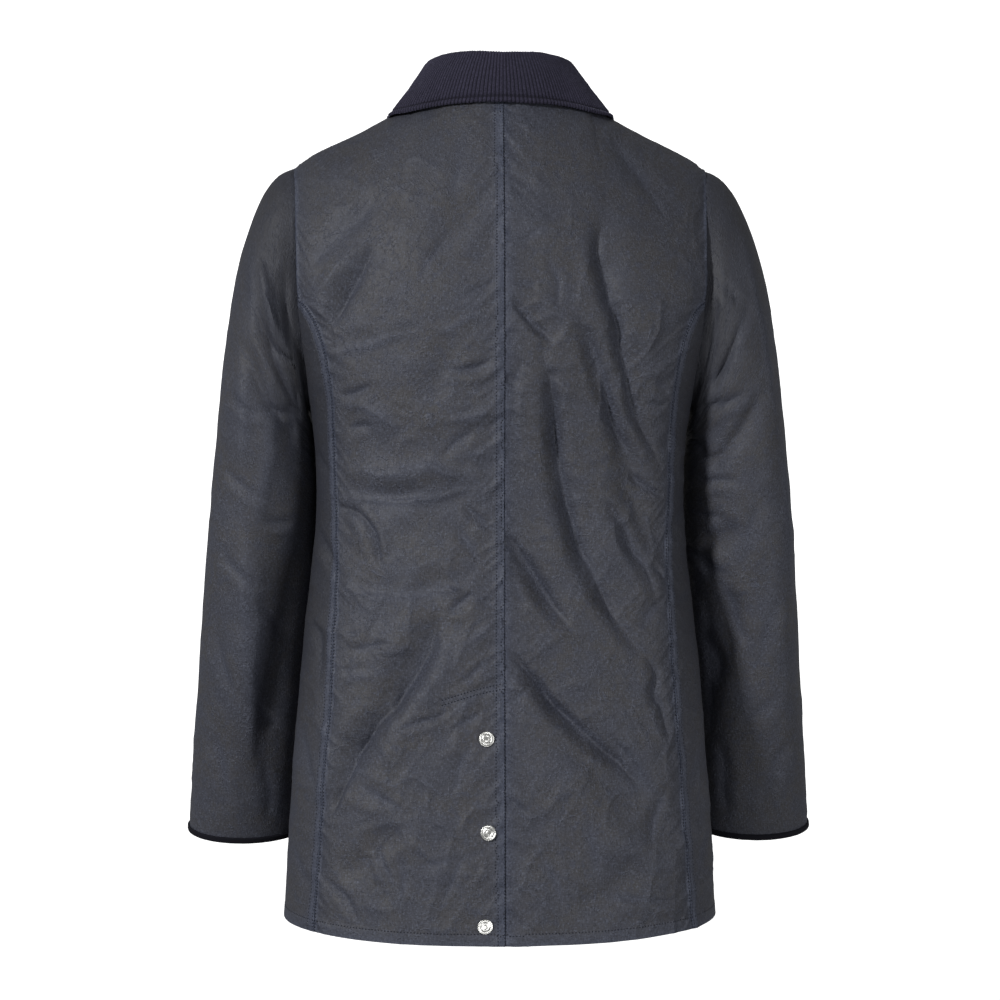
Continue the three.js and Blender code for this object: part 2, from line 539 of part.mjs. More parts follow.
// The binding is a channel that wraps the cuff's raw edge: outside, underneath and inside.
function cuffBinding(side) {
  const grid = sleeveGrid(side);
  const edge = grid[SLEEVE_ROWS];
  const above = grid[SLEEVE_ROWS - 1];
  const clear = LAYER_GAP;
  const profile = [
    { out: clear, up: BINDING.height },
    { out: clear + BINDING.cover, up: BINDING.height - 0.8 },
    { out: clear + BINDING.cover, up: -BINDING.below },
    { out: -CLOTH / 2, up: -BINDING.below - 1.4 },
    { out: -CLOTH - clear - BINDING.cover, up: -BINDING.below },
    { out: -CLOTH - clear - BINDING.cover, up: BINDING.height },
    { out: -CLOTH - clear, up: BINDING.height },
    { out: -CLOTH - clear, up: -clear },
    { out: clear, up: -clear },
  ];
  const count = TURNS.length;
  const positions = [];
  for (let i = 0; i < count; i++) {
    const [point, , normal] = edge[i];
    const up = above[i][0].clone().sub(point).normalize();
    for (const corner of profile)
      positions.push(...point.clone().addScaledVector(normal, corner.out).addScaledVector(up, corner.up).toArray());
  }
  const corners = profile.length;
  const faces = [];
  for (let i = 0; i < count; i++)
    for (let k = 0; k < corners; k++) {
      const [a, b] = [i * corners + k, i * corners + ((k + 1) % corners)];
      const [c, d] = [((i + 1) % count) * corners + ((k + 1) % corners), ((i + 1) % count) * corners + k];
      faces.push(a, b, c, a, c, d);
    }
  return facingOut(positions, faces);
}

// The collar's seam on the neckline, by degrees from the back, the wearer's left positive.
function neckline(turn) {
  const [side, share] = [turn < 0 ? -1 : 1, Math.abs(turn)];
  const face = share < 90 ? 1 : -1;
  const u = ((share < 90 ? share : 180 - share) / 90) * NECK_SHARE;
  const edge = topEdge(face, u);
  return new THREE.Vector3(side * edge.x, edge.y, edge.z);
}

// The same seam as the panels' straight steps cut it.
function necklineChord(turn) {
  const step = 90 / NECK_COLUMNS;
  const sign = turn < 0 ? -1 : 1;
  const k = Math.min(Math.floor(Math.abs(turn) / step), 2 * NECK_COLUMNS - 1);
  return neckline(sign * k * step).lerp(neckline(sign * (k + 1) * step), Math.abs(turn) / step - k);
}

// Level direction away from the neck's middle.
function awayFromNeck(point) {
  return new THREE.Vector3(point.x, point.y - NECK.y, 0).normalize();
}

function foldCrest(turn) {
  const s = collarSection(Math.abs(turn));
  return new THREE.Vector3(Math.sign(turn) * s.foldX, s.foldY, s.foldZ);
}

// The collar's lower edge rests on the body's cloth.
function collarEdge(turn) {
  const s = collarSection(Math.abs(turn));
  const face = Math.abs(turn) < 88 ? 1 : -1;
  const { side, u, v } = bodyShares(face, (turn < 0 ? -1 : 1) * s.edgeX, s.edgeZ);
  return body(side, face, u, v).addScaledVector(bodyNormal(side, face, u, v), CLOTH + COLLAR_CLEAR);
}

// The stand rises from the neckline to the fold.
function collarStand() {
  const [columns, rows] = [40, 3];
  const grid = Array.from({ length: columns + 1 }, (_, i) => {
    const turn = mix(-COLLAR_END, COLLAR_END, i / columns);
    const [foot, crest] = [necklineChord(turn), foldCrest(turn)];
    foot.z += STAND_RISE;
    const out = awayFromNeck(crest);
    const top = crest.clone().addScaledVector(out, -FOLD_ROLL + CLOTH);
    top.z -= FOLD_ROLL + 0.8 + SEAM_GAP;
    return Array.from({ length: rows + 1 }, (_, j) => {
      const face = foot.clone().lerp(top, j / rows);
      return [face, face.clone().addScaledVector(awayFromNeck(face), -CLOTH)];
    });
  });
  return wall(columns, rows, (i, j) => grid[i][j]);
}

// The fall's path from the roll at its fold down to its edge.
function fallPath(turn) {
  const [crest, edge] = [foldCrest(turn), collarEdge(turn)];
  const out = awayFromNeck(crest);
  const rolled = (away, down) => crest.clone().addScaledVector(out, away * FOLD_ROLL).setZ(crest.z - down * FOLD_ROLL);
  const start = rolled(0.75, 0.45);
  const slope = edge.clone().sub(start);
  const crown = out.clone().multiplyScalar(Math.abs(slope.z)).setZ(Math.hypot(slope.x, slope.y)).normalize();
  const points = [rolled(-1, 1), rolled(0, 0), start];
  for (const t of [0.5, 1]) {
    points.push(start.clone().addScaledVector(slope, t).addScaledVector(crown, COLLAR_CROWN * Math.sin(Math.PI * t)));
  }
  return points;
}

// The fall: wales are raised in its outer points, over a plain inside with fewer columns.
function collarFall() {
  const fine = WALES * 2;
  const perCoarse = 8;
  const coarse = fine / perCoarse;
  const paths = Array.from({ length: coarse + 1 }, (_, i) => fallPath(mix(-COLLAR_END, COLLAR_END, i / coarse)));
  const rows = paths[0].length;
  const normals = paths.map((path, i) =>
    path.map((_, j) => {
      const along = paths[Math.min(i + 1, coarse)][j].clone().sub(paths[Math.max(i - 1, 0)][j]);
      const down = path[Math.min(j + 1, rows - 1)].clone().sub(path[Math.max(j - 1, 0)]);
      return down.cross(along).normalize();
    }),
  );
  const positions = [];
  for (let i = 0; i <= fine; i++) {
    const k = Math.min(Math.floor(i / perCoarse), coarse - 1);
    const share = i / perCoarse - k;
    for (let j = 0; j < rows; j++) {
      const raised = i % 2 === 1 && i < fine ? WALE_HEIGHT : 0;
      const normal = normals[k][j].clone().lerp(normals[k + 1][j], share);
      positions.push(...paths[k][j].clone().lerp(paths[k + 1][j], share).addScaledVector(normal, raised).toArray());
    }
  }
  const firstInner = positions.length / 3;
  for (let i = 0; i <= coarse; i++)
    for (let j = 0; j < rows; j++)
      positions.push(...paths[i][j].clone().addScaledVector(normals[i][j], -CLOTH + WALE_HEIGHT).toArray());
  const outer = (i, j) => i * rows + j;
  const inner = (i, j) => firstInner + i * rows + j;
  const faces = [];
  const quad = (a, b, c, d) => faces.push(a, b, c, a, c, d);
  for (let j = 0; j < rows - 1; j++) {
    for (let i = 0; i < fine; i++) quad(outer(i, j), outer(i, j + 1), outer(i + 1, j + 1), outer(i + 1, j));
    for (let i = 0; i < coarse; i++) quad(inner(i, j), inner(i + 1, j), inner(i + 1, j + 1), inner(i, j + 1));
    quad(outer(0, j), inner(0, j), inner(0, j + 1), outer(0, j + 1));
    quad(outer(fine, j), outer(fine, j + 1), inner(coarse, j + 1), inner(coarse, j));
  }
  // Fans close the long edges, from the few inner points to the many outer ones.
  for (const [j, flip] of [[0, false], [rows - 1, true]]) {
    const fan = (a, b, c) => faces.push(...(flip ? [a, c, b] : [a, b, c]));
    for (let k = 0; k < coarse; k++) {
      const middle = k * perCoarse + perCoarse / 2;
      for (let i = k * perCoarse; i < middle; i++) fan(outer(i, j), outer(i + 1, j), inner(k, j));
      fan(outer(middle, j), inner(k + 1, j), inner(k, j));
      for (let i = middle; i < (k + 1) * perCoarse; i++) fan(outer(i, j), outer(i + 1, j), inner(k + 1, j));
    }
  }
  return facingOut(positions, faces);
}

// A stud's cap, turned about its own Z: flat underneath, with a rim, a groove and a dome.
function studCap() {
  const { radius, rim, dome } = STUD;
  const profile = [
    [0, 0],
    [radius - 0.3, 0],
    [radius, rim * 0.6],
    [radius * 0.94, rim],
    [radius * 0.62, rim * 1.05],
    [radius * 0.5, dome * 0.82],
    [0, dome],
  ];
  return new THREE.LatheGeometry(
    profile.map(([r, z]) => new THREE.Vector2(r, z)),
    STUD.sides,
  ).rotateX(Math.PI / 2);
}

const CLOTHS = {
  wax: { color: 0x32353d, roughness: 0.55, metalness: 0 },
  lining: { color: 0x2b2e35, roughness: 0.8, metalness: 0 },
  corduroy: { color: 0x201e2a, roughness: 0.95, metalness: 0 },
  metal: { color: 0x9b9c99, roughness: 0.35, metalness: 0.9 },
};

const jacket = new THREE.Group();

function add(name, cloth, geometry) {
  const mesh = new THREE.Mesh(geometry, new THREE.MeshStandardMaterial(CLOTHS[cloth]));
  mesh.name = name;
  jacket.add(mesh);
  return mesh;
}

// A stud on the body's outer face, or on a layer that lies lift above it.
function addStud(name, face, x, z, lift) {
  const { side, u, v } = bodyShares(face, x, z);
  const normal = bodyNormal(side, face, u, v);
  const stud = add(name, "metal", studCap());
  stud.position.copy(body(side, face, u, v).addScaledVector(normal, lift + LAYER_GAP));
  stud.quaternion.setFromUnitVectors(new THREE.Vector3(0, 0, 1), normal);
}

for (const [side, name] of [[1, "left"], [-1, "right"]]) {
  add(`back_${name}`, "wax", centreBack(side));
  add(`side_${name}`, "wax", sidePanel(side));
  add(`front_${name}`, "wax", front(side));
  add(`sleeve_${name}`, "wax", sleeveTube(side));
  add(`cuff_binding_${name}`, "corduroy", cuffBinding(side));
}
add("vent_underlap", "wax", ventUnderlap());
add("front_fly", "wax", frontFly());
add("collar_stand", "corduroy", collarStand());
add("collar_fall", "corduroy", collarFall());

VENT_STUDS.forEach(({ x, z }, k) => addStud(`vent_stud_${k + 1}`, 1, x, z, 0));
for (let k = 0; k < FRONT_STUDS.count; k++) {
  const z = mix(FRONT_STUDS.first, FRONT_STUDS.last, k / (FRONT_STUDS.count - 1));
  addStud(`front_stud_${k + 1}`, -1, 0, z, LAYER_GAP + FLY.thickness);
}

export default jacket;
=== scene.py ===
"""A waxed cotton jacket in its hollow worn shape, seen from behind.

Sizes are in millimetres until a mesh is made. +Z is up, +X the wearer's left and -Y the wearer's front.
The origin is midway between the two neck points. side is 1 on the wearer's left and -1 on the right,
face is 1 behind and -1 in front.
"""
import math

import bpy
import numpy as np
from mathutils import Matrix, Vector


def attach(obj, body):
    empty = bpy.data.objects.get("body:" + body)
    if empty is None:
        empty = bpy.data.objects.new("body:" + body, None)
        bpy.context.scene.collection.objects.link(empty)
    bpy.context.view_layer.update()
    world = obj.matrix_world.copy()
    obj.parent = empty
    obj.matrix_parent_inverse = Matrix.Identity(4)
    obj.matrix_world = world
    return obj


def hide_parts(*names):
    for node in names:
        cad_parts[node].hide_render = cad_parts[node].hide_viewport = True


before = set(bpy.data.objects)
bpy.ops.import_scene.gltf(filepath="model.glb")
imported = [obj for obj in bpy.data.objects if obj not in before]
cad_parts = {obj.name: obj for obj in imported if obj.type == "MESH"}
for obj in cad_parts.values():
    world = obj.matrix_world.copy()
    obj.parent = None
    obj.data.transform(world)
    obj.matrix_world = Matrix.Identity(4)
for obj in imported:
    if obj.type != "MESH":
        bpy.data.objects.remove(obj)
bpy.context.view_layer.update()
MM = 0.001
DEGREE = math.pi / 180


def table(columns, text):
    """A list of rows, each a dict with the named columns. A line that starts with # is a heading."""
    names = columns.split()
    rows = [line.split() for line in text.strip().splitlines() if line[0] != "#"]
    return [dict(zip(names, map(float, row))) for row in rows]


# Sizes of the cut, the same as those of the solids.
HEM = {"back": -777.5, "side": -769, "front": -768}
ARMPIT_Z = -295
SEAM_GAP = 0.3
NECK = {"half": 75, "y": -5, "back": 67, "back_drop": 8, "front": 72, "front_drop": 88}
NECK_SHARE = 4 / 11  # of a panel's top edge, the rest is the shoulder
SHOULDER = {"x": 197, "y": -8, "z": -67}
SHOULDER_CURVE = {"sag": 2, "bulge": 4.6}
ARMHOLE = {"back": 30, "front": 35}  # degrees from straight out to its edges
SHOULDER_ROUND = 0.8
ROLL = {"neckline": 62, "shoulder": 88}  # degrees that the cloth turns over towards its top edge

# The body's half width, its depths behind and in front, and how square its corners are, by height.
BODY = table("z half back front square", """
-790 205 127 130 2.5
-665 198 122 126 2.5
-570 191 114 121 2.45
-484 183 105.5 117 2.42
-410 175 101 114 2.35
-350 174 102.5 114.5 2.35
-295 180 109 119 2.4
-200 204 118 123 2.5
-100 211 120 116 2.5
10 208 118 100 2.5
""")
# How far the side-back seam is from the centre line.
SIDE_BACK_SEAM = table("z x", """
-790 174
-694 168
-646 164
-570 158
-513 155
-437 153
-370 154
-313 156
-285 157
-252 162
-226 169
-208 176
-195 183
-184 192
-176 204
""")
SIDE_PANEL_TOP_Z = -180
SIDE_PANEL_TIP = 0.006  # the least share of the width that it has

# The largest folds, as the solids have them: from a past b to c. x and z are as seen from behind.
LARGE_FOLDS = table("face ax az bx bz cx cz width depth", """
1 150 -378 90 -386 26 -376 13 -6
1 148 -358 90 -362 34 -354 14 3
1 145 -392 112 -398 112 -430 12 3
1 143 -460 88 -476 28 -449 13 -4
1 50 -482 96 -530 157 -650 17 -7
1 46 -520 96 -575 128 -660 13 4
1 150 -722 120 -705 92 -668 13 -4
1 157 -249 122 -238 72 -232 12 -3
1 158 -216 126 -176 106 -126 15 -5
1 178 -166 148 -132 112 -100 15 -3
1 68 -164 44 -136 20 -100 14 -3
1 74 -300 60 -270 40 -232 14 -3
1 -90 -108 -90 -220 -144 -338 14 -7
1 -72 -216 -92 -300 -150 -456 14 -6
1 -42 -262 -46 -400 -128 -524 16 -7
1 -6 -198 -28 -222 -50 -238 11 -4
1 -6 -412 -24 -450 -54 -498 13 -5
1 -4 -512 -70 -580 -160 -706 18 -7
1 -8 -560 -60 -640 -120 -716 18 4
1 -56 -746 -96 -742 -122 -700 14 -4
1 -96 -40 -124 -66 -150 -118 12 -3
-1 150 -396 98 -404 46 -388 15 -5
-1 -152 -402 -104 -416 -48 -396 15 -5
-1 148 -262 112 -250 84 -214 15 -5
-1 -150 -268 -116 -250 -90 -208 15 -5
-1 46 -300 86 -330 146 -344 14 -3
-1 -44 -296 -92 -328 -148 -338 14 -3
-1 50 -500 92 -590 150 -660 18 -6
-1 -52 -490 -90 -600 -138 -690 18 -6
-1 60 -640 92 -690 118 -752 16 -4
-1 -150 -520 -110 -498 -70 -448 15 -4
""")
# The long creases of the back, each through five points. With a negative depth the crease is a valley, and
# ridge is the height of the cloth pushed up beside it, above it or on the wearer's left of it, where its
# gentle side is. With a positive depth it is a crisp crest over a short steep side.
LONG_CREASES = table("face ax az bx bz cx cz dx dz ex ez width depth ridge", """
# the wearer's right half
1 -92 -122 -89 -158 -104 -214 -118 -286 -148 -352 8 -4.2 1.6
1 -66 -206 -78 -240 -95 -285 -108 -323 -130 -368 8 -4.5 1.8
1 -36 -236 -44 -290 -58 -384 -84 -452 -126 -522 9 -5.2 2
1 -3 -404 -14 -430 -27 -446 -42 -468 -62 -500 9 -5 1.8
1 -92 -380 -110 -404 -122 -426 -132 -442 -142 -470 8 -4.5 1.8
1 -1 -512 -22 -536 -55 -572 -88 -600 -128 -640 7 -5.6 1.6
1 -132 -518 -140 -536 -136 -556 -144 -572 -150 -596 6 -3 1.3
1 -92 -588 -106 -604 -118 -618 -130 -640 -152 -668 10 -2.6 1
# the wearer's left half
1 154 -377 124 -380 92 -380 58 -379 22 -369 15 4.4 -1.4
1 146 -352 104 -357 68 -349 46 -357 12 -356 9 2.2 -0.8
1 160 -250 145 -244 122 -239 101 -234 72 -230 9 2.6 -0.8
1 152 -386 130 -396 119 -410 114 -424 113 -440 6 -4 2
1 62 -484 70 -516 82 -542 96 -562 114 -584 13 -8.5 2.6
1 104 -566 120 -590 136 -612 147 -638 155 -662 10 -6 2
1 120 -148 128 -168 138 -186 150 -206 162 -232 9 -4 1.4
1 150 -456 128 -465 90 -466 56 -462 24 -464 10 2.6 -0.9
""")
# The smaller creases, each from a past b to c.
CREASES = table("face ax az bx bz cx cz width depth ridge", """
# the wearer's left half of the back, from the top down
1 50 -138 66 -160 76 -180 4.5 -1.8 0.8
1 112 -100 134 -124 176 -164 14 -1.8 0.6
1 155 -137 168 -152 176 -168 8 -1.4 0.6
1 68 -230 38 -219 9 -211 5.1 1.8 -0.4
1 56 -262 34 -268 9 -252 4.9 -2.6 1.4
1 150 -286 136 -282 118 -276 5.4 -2.6 1.2
1 137 -290 112 -304 94 -314 10.5 2.6 -0.5
1 143 -316 132 -310 120 -312 4.3 -1.6 0.8
1 54 -340 40 -322 28 -316 4.5 -2.2 1
1 50 -306 28 -308 9 -298 6.8 2 -0.5
1 12 -186 28 -190 44 -200 4.3 -1.6 0.8
1 12 -158 26 -160 44 -156 4.3 -1.5 0.6
1 12 -336 24 -334 40 -342 6 1.8 -0.5
1 39 -384 24 -394 9 -412 4 -3.2 1.4
1 44 -404 30 -418 24 -440 6 -2 1
1 58 -458 50 -462 40 -462 4.5 2.4 -0.5
1 52 -482 38 -470 26 -462 4.9 -2.6 1.2
1 30 -466 22 -472 10 -474 4.3 -2.2 1
1 38 -516 22 -500 9 -490 6.8 2.8 -0.7
1 40 -546 22 -528 9 -522 4.9 -2.6 1.2
1 97 -590 68 -572 48 -568 4.3 -2.4 1.2
1 50 -574 34 -562 22 -554 6 2.2 -0.5
1 50 -588 36 -578 22 -568 4.3 -2 1
1 50 -648 46 -618 26 -598 7 -2 0.9
1 146 -548 134 -532 118 -540 6.8 2.4 -0.6
1 144 -515 120 -516 99 -506 4.9 -2.4 1.2
1 146 -502 140 -500 132 -502 3.7 -1.8 0.8
1 36 -695 46 -718 60 -742 5 -1.5 0.8
1 96 -690 84 -716 98 -748 6 -1.2 0.6
1 168 -724 142 -732 132 -757 6 -2.2 0.9
1 140 -632 112 -650 84 -660 6 -1.5 0.8
1 76 -700 60 -706 40 -700 5 -1.2 0.7
1 120 -690 104 -706 100 -730 5 -1.3 0.7
1 30 -60 44 -84 46 -110 7 -1 0.5
# the wearer's right half of the back
1 -6 -199 -22 -218 -48 -238 4 -4 1.8
1 -8 -180 -18 -184 -28 -187 5 -2 0.8
1 -14 -142 -26 -140 -42 -132 8 -2 0.8
1 -42 -160 -48 -184 -50 -208 5 -1.6 0.8
1 -4 -278 -10 -268 -18 -254 5 -2.4 1
1 -4 -302 -12 -318 -14 -344 6 -2 1
1 -136 -268 -144 -270 -150 -286 6 -2.2 1
1 -130 -292 -140 -296 -150 -294 4.5 -2.2 1
1 -137 -96 -146 -106 -151 -118 3.4 -2.2 1
1 -100 -42 -126 -80 -140 -100 8 -1.4 0.6
1 -120 -354 -132 -368 -149 -374 4 -3 1.5
1 -137 -440 -144 -446 -151 -452 3.4 -2.4 1.1
1 -150 -472 -130 -474 -131 -500 7 -3 1.2
1 -6 -440 -10 -462 -22 -480 6 -1.8 0.9
1 -8 -560 -14 -556 -24 -550 4 -1.4 0.8
1 -80 -734 -130 -738 -163 -748 6 -1.6 0.8
1 -6 -640 -14 -652 -22 -668 5 -1.8 0.8
1 -70 -660 -82 -696 -84 -726 7 -1.4 0.7
1 -30 -700 -48 -716 -54 -748 6 -1.3 0.7
1 -150 -640 -136 -664 -134 -700 6 -1.6 0.8
# the side panels
1 176 -404 166 -416 156 -446 6 -2.4 1.1
1 174 -488 164 -510 170 -544 6 -2.4 1.1
1 172 -330 166 -346 158 -352 5 -1.8 0.8
1 -172 -380 -166 -400 -154 -404 5 -2 0.8
1 -176 -462 -168 -476 -158 -480 5 -2 0.8
1 188 -580 180 -620 170 -646 7 -2 0.9
1 -188 -600 -178 -632 -168 -650 7 -2 0.9
1 196 -690 184 -712 178 -740 6 -1.6 0.7
1 -196 -680 -184 -700 -180 -740 6 -1.6 0.7
# the fronts
-1 150 -384 98 -398 40 -384 5 -2.6 1.2
-1 -150 -390 -104 -410 -42 -392 5 -2.6 1.2
-1 152 -256 120 -246 82 -206 5 -2 1
-1 -152 -262 -116 -246 -86 -200 5 -2 1
-1 48 -480 92 -584 154 -668 6 -2.6 1.2
-1 -50 -470 -90 -596 -140 -700 6 -2.6 1.2
-1 40 -150 70 -180 92 -230 6 -1.4 0.7
-1 -40 -160 -66 -196 -96 -240 6 -1.4 0.7
-1 38 -330 60 -344 92 -342 5 -1.4 0.7
-1 -40 -440 -70 -452 -96 -444 5 -1.5 0.7
-1 44 -560 60 -600 62 -640 6 -1.3 0.7
-1 -46 -620 -66 -650 -70 -700 6 -1.3 0.7
""")
FOLD_STEPS = 12  # straight parts in a fold's line, twice as many in a long crease's

# The sleeve: outer and inner line as seen from behind, its middle and half depth, and how far its inner
# line lies ahead of its outer one.
SLEEVE = table("along out_x out_z in_x in_z y depth ahead", """
0 197 -68 178 -295 -6 66 0
15 210 -75 182 -297.5 -6 66 0
31 220 -87 182.5 -301 -6 66 1
48 228 -102 182 -305 -6 66 3
70 236 -123 181.5 -309 -6 67 6
98 244 -150 180.5 -314 -7 68 10
126 250 -177 179.5 -319 -7 68 14
153 254.5 -204 178.5 -324 -8 68 18
218 263.5 -269 175.5 -340 -10 66 25
266 268 -316 173 -361 -13 64 27
343 275 -393 173 -417 -21 60 28
416 281.5 -465 178 -477 -34 56 22
489 288 -538 186 -544 -50 52 10
563 294.5 -612 191 -614 -68 47 0
654 301.5 -702 193 -702 -88 42 0
""")
RIGHT_ARM_OUT = {"shoulder": 2, "cuff": 7}
SLEEVE_LENGTH = 654
ARMHOLE_BLEND = 120  # how far down the armhole's shape is felt
LEAN = 12  # degrees that the cuff is tilted
# Its folds, by degrees round the sleeve from its outer line and by distance down it.
SLEEVE_FOLDS = table("side a_turn a_along b_turn b_along c_turn c_along width depth", """
1 60 150 88 196 128 206 15 -6
1 70 96 96 126 130 128 14 -5
1 74 300 84 420 64 560 20 4
1 128 330 116 440 112 600 17 -5
1 250 330 268 360 300 362 16 -5
1 232 190 262 180 292 140 16 -5
-1 62 96 92 112 124 96 13 -5
-1 60 200 92 236 126 262 15 -6
-1 92 330 112 352 138 350 14 -6
-1 106 400 112 440 120 500 16 -6
-1 56 320 60 440 50 560 19 3
-1 246 336 270 366 304 372 16 -5
-1 234 176 264 168 290 130 16 -5
""")
# Its creases, by x and z on its back (face 1) or front (face -1), x counted from the jacket's middle.
SLEEVE_CREASES = table("side face ax az bx bz cx cz width depth ridge", """
1 1 227 -150 214 -220 188 -254 8 4.5 -2
1 1 198 -160 199 -200 194 -238 11 -5.5 0
1 1 244 -250 236 -300 240 -360 12 3 -1
1 1 226 -420 232 -540 240 -640 15 4 -2
-1 1 196 -186 199 -232 190 -276 10 -5.5 0
-1 1 196 -470 204 -540 206 -620 11 -4 0
1 1 216 -224 211 -247 186 -253 4 -3 1.4
1 1 229 -163 214 -158 196 -160 5 -2.2 1.2
1 1 224 -123 212 -114 199 -108 5 1.6 0
1 1 227 -132 236 -180 228 -236 7 2.2 0
1 1 214 -176 206 -206 212 -236 7 2.4 0
1 1 212 -255 208 -356 232 -412 10 3 0
1 1 232 -408 243 -500 234 -572 13 3 0
1 1 190 -268 196 -310 192 -366 7 -3 0
1 1 254 -280 238 -298 222 -302 5 -2 1
1 1 222 -290 206 -300 190 -296 4.5 -2 1
1 1 258 -352 240 -372 214 -378 5 -1.8 0.9
1 1 226 -396 210 -404 194 -398 4.5 -2.2 1
1 1 262 -426 246 -452 222 -462 5 -1.8 0.9
1 1 270 -500 262 -540 248 -566 6 -1.6 0.9
1 1 222 -478 214 -500 200 -508 5 -1.8 0.9
1 1 240 -560 226 -590 206 -598 6 -1.6 0.8
1 1 276 -600 262 -640 256 -676 7 -1.5 0.8
1 1 226 -630 220 -660 222 -690 6 -1.3 0.7
1 -1 262 -330 236 -360 200 -366 6 -2.4 1.1
1 -1 258 -290 236 -306 204 -300 6 -2 1
1 -1 264 -420 240 -440 206 -430 6 -2 1
1 -1 250 -180 226 -214 196 -232 7 -2.4 1
1 -1 272 -520 250 -560 244 -610 7 -1.6 0.9
-1 1 188 -178 214 -172 226 -208 5 -2.6 1.3
-1 1 184 -284 202 -260 226 -240 7 -2 0.8
-1 1 178 -312 186 -332 200 -344 4.5 -3 1.4
-1 1 186 -300 206 -286 232 -282 5 -2 1
-1 1 182 -352 200 -364 224 -360 4.5 -2.2 1.1
-1 1 182 -386 196 -398 214 -396 4.5 -2 1
-1 1 182 -420 196 -436 204 -458 5 -3 1.4
-1 1 192 -426 204 -444 222 -450 5 -2 1
-1 1 184 -124 204 -118 220 -105 4 1.6 0
-1 1 220 -116 240 -200 260 -318 6 2.6 0
-1 1 262 -318 276 -400 272 -480 9 2 0
-1 1 222 -190 226 -226 216 -262 7 2.2 0
-1 1 206 -440 222 -500 240 -520 7 -2.2 1
-1 1 244 -380 230 -410 228 -450 6 -1.8 0.9
-1 1 266 -470 252 -500 248 -540 6 -1.6 0.9
-1 1 196 -500 210 -530 212 -570 6 -2 1
-1 1 268 -560 250 -590 226 -596 6 -1.5 0.8
-1 1 284 -610 262 -640 254 -680 7 -1.4 0.8
-1 1 216 -610 224 -650 220 -690 6 -1.4 0.8
-1 -1 266 -332 236 -362 202 -370 6 -2.4 1.1
-1 -1 262 -286 236 -300 204 -296 6 -2 1
-1 -1 268 -426 240 -446 208 -436 6 -2 1
-1 -1 250 -176 226 -208 196 -228 7 -2.4 1
""")
# How deep the sleeve lies behind the body's edge at the back of the armhole, by degrees round the sleeve.
ARMHOLE_DIP = table("turn left right", """
0 0 0
40 1 1
60 3.5 3.5
82 7.5 8.5
112 9 9
140 6 7
180 2 2
240 3 3
300 2 2
360 0 0
""")

# Collar: the crest of its fold and its lower edge, by degrees from the back.
COLLAR = table("turn fold_x fold_y fold_z edge_x edge_z", """
0 0 68 31 0 -15.5
30 32 60 32.5 48 -17
60 57 34 33.5 84 -22
85 69 3 31 105 -24
110 66 -26 20 109 -38
135 52 -53 -3 99 -64
160 26 -76 -37 76 -104
178 3 -84 -58 46 -142
""")
COLLAR_END = 178
COLLAR_CLEAR = 3  # between its edge and the body
COLLAR_CROWN = 3  # how far it bulges between its fold and its edge
FOLD_ROLL = 3  # radius of its fold
WALES = 160  # ribs of the corduroy from front end to front end

VENT = {"top_z": -545, "lap": 58, "sewn": 12, "hem_rise": 4, "clear": 2.4}
FLY = {"half": 29, "top_inset": 7, "hem_rise": 3, "thickness": 1.6}
STUD = {"radius": 7.0, "rim": 1.1, "dome": 2.6}
VENT_STUDS = table("x z", """
16.5 -594
15 -677
18 -760
""")
FRONT_STUDS = {"count": 6, "first": -128, "last": -716}

# Sizes that only this scene has.
SHELL = 1.5  # thickness of the cloth as it shows
FELL = 8.5  # width of a felled seam's band
FELL_RISE = {"back": 0.6, "side": 0.3}
FELL_STITCH = 1.2  # from the band's edges to its rows of stitches
TUCK = {"columns": 2, "step": 1.3}  # cloth that goes in under the next panel
HEM_BAND = 11
CUFF_BAND = 11
CUFF_STITCH = 10.5
CUFF_BINDING = {"height": 5.0, "cover": 1.3, "below": 1.3, "inside": SHELL + 0.4}
VENT_BAR = {"long": 57, "wide": 4.6, "drop": 15, "bend": 1.3}  # the stitches that hold the vent's top
STITCH = {"length": 1.7, "gap": 1.3, "width": 1.1, "height": 0.15, "lift": 0.08}
PIPS = {"count": 20, "radius": 0.42, "height": 0.32, "sides": 6, "ring": 0.68}
COLLAR_CLOTH = {"fall": 1.6, "stand": 1.8, "edge_roll": 1.2, "rib": 0.8}
# Lengths that set how many points a grid has: the body below and above the armpit, and round the sleeve.
SKIRT_LENGTH, YOKE_LENGTH, SLEEVE_GIRTH = 476, 310, 430
YOKE_RISE = 240  # about how much higher the shoulders are than the armpits
SLEEVE_RADIUS = 62  # turns degrees round the sleeve into lengths on its cloth
CRUMPLE = {"body": 2.0, "sleeve": 0.9, "strip": 0.25}
CREASE_STRENGTH = {"long": 1.45, "small": 1.1, "sleeve": 1.15}
# Seeds of the crush marks. The back and the side panels share one, so that the marks cross their seams.
SEED = {"back": 40, "side": 40, "front": 60, "sleeve": 80, "strip": 90}
# The spacing of each grid's points.
STEP = {"back": 1.75, "side": 1.7, "front": 3.2, "round_sleeve": 2.4, "down_sleeve": 2.3, "strip": 3}
FINE = 1.0
RIB_COLUMNS = 6 if FINE == 1 else 4
HANDS = ((1, "left"), (-1, "right"))


# Small helpers.
def those(rows, **wanted):
    """The rows of a table that have the wanted values."""
    return [row for row in rows if all(row[name] == value for name, value in wanted.items())]


def mix(a, b, t):
    return a + (b - a) * t


def ease(t):
    t = np.clip(t, 0, 1)
    return t * t * (3 - 2 * t)


def unit(vectors):
    return vectors / np.maximum(np.linalg.norm(vectors, axis=-1, keepdims=True), 1e-12)


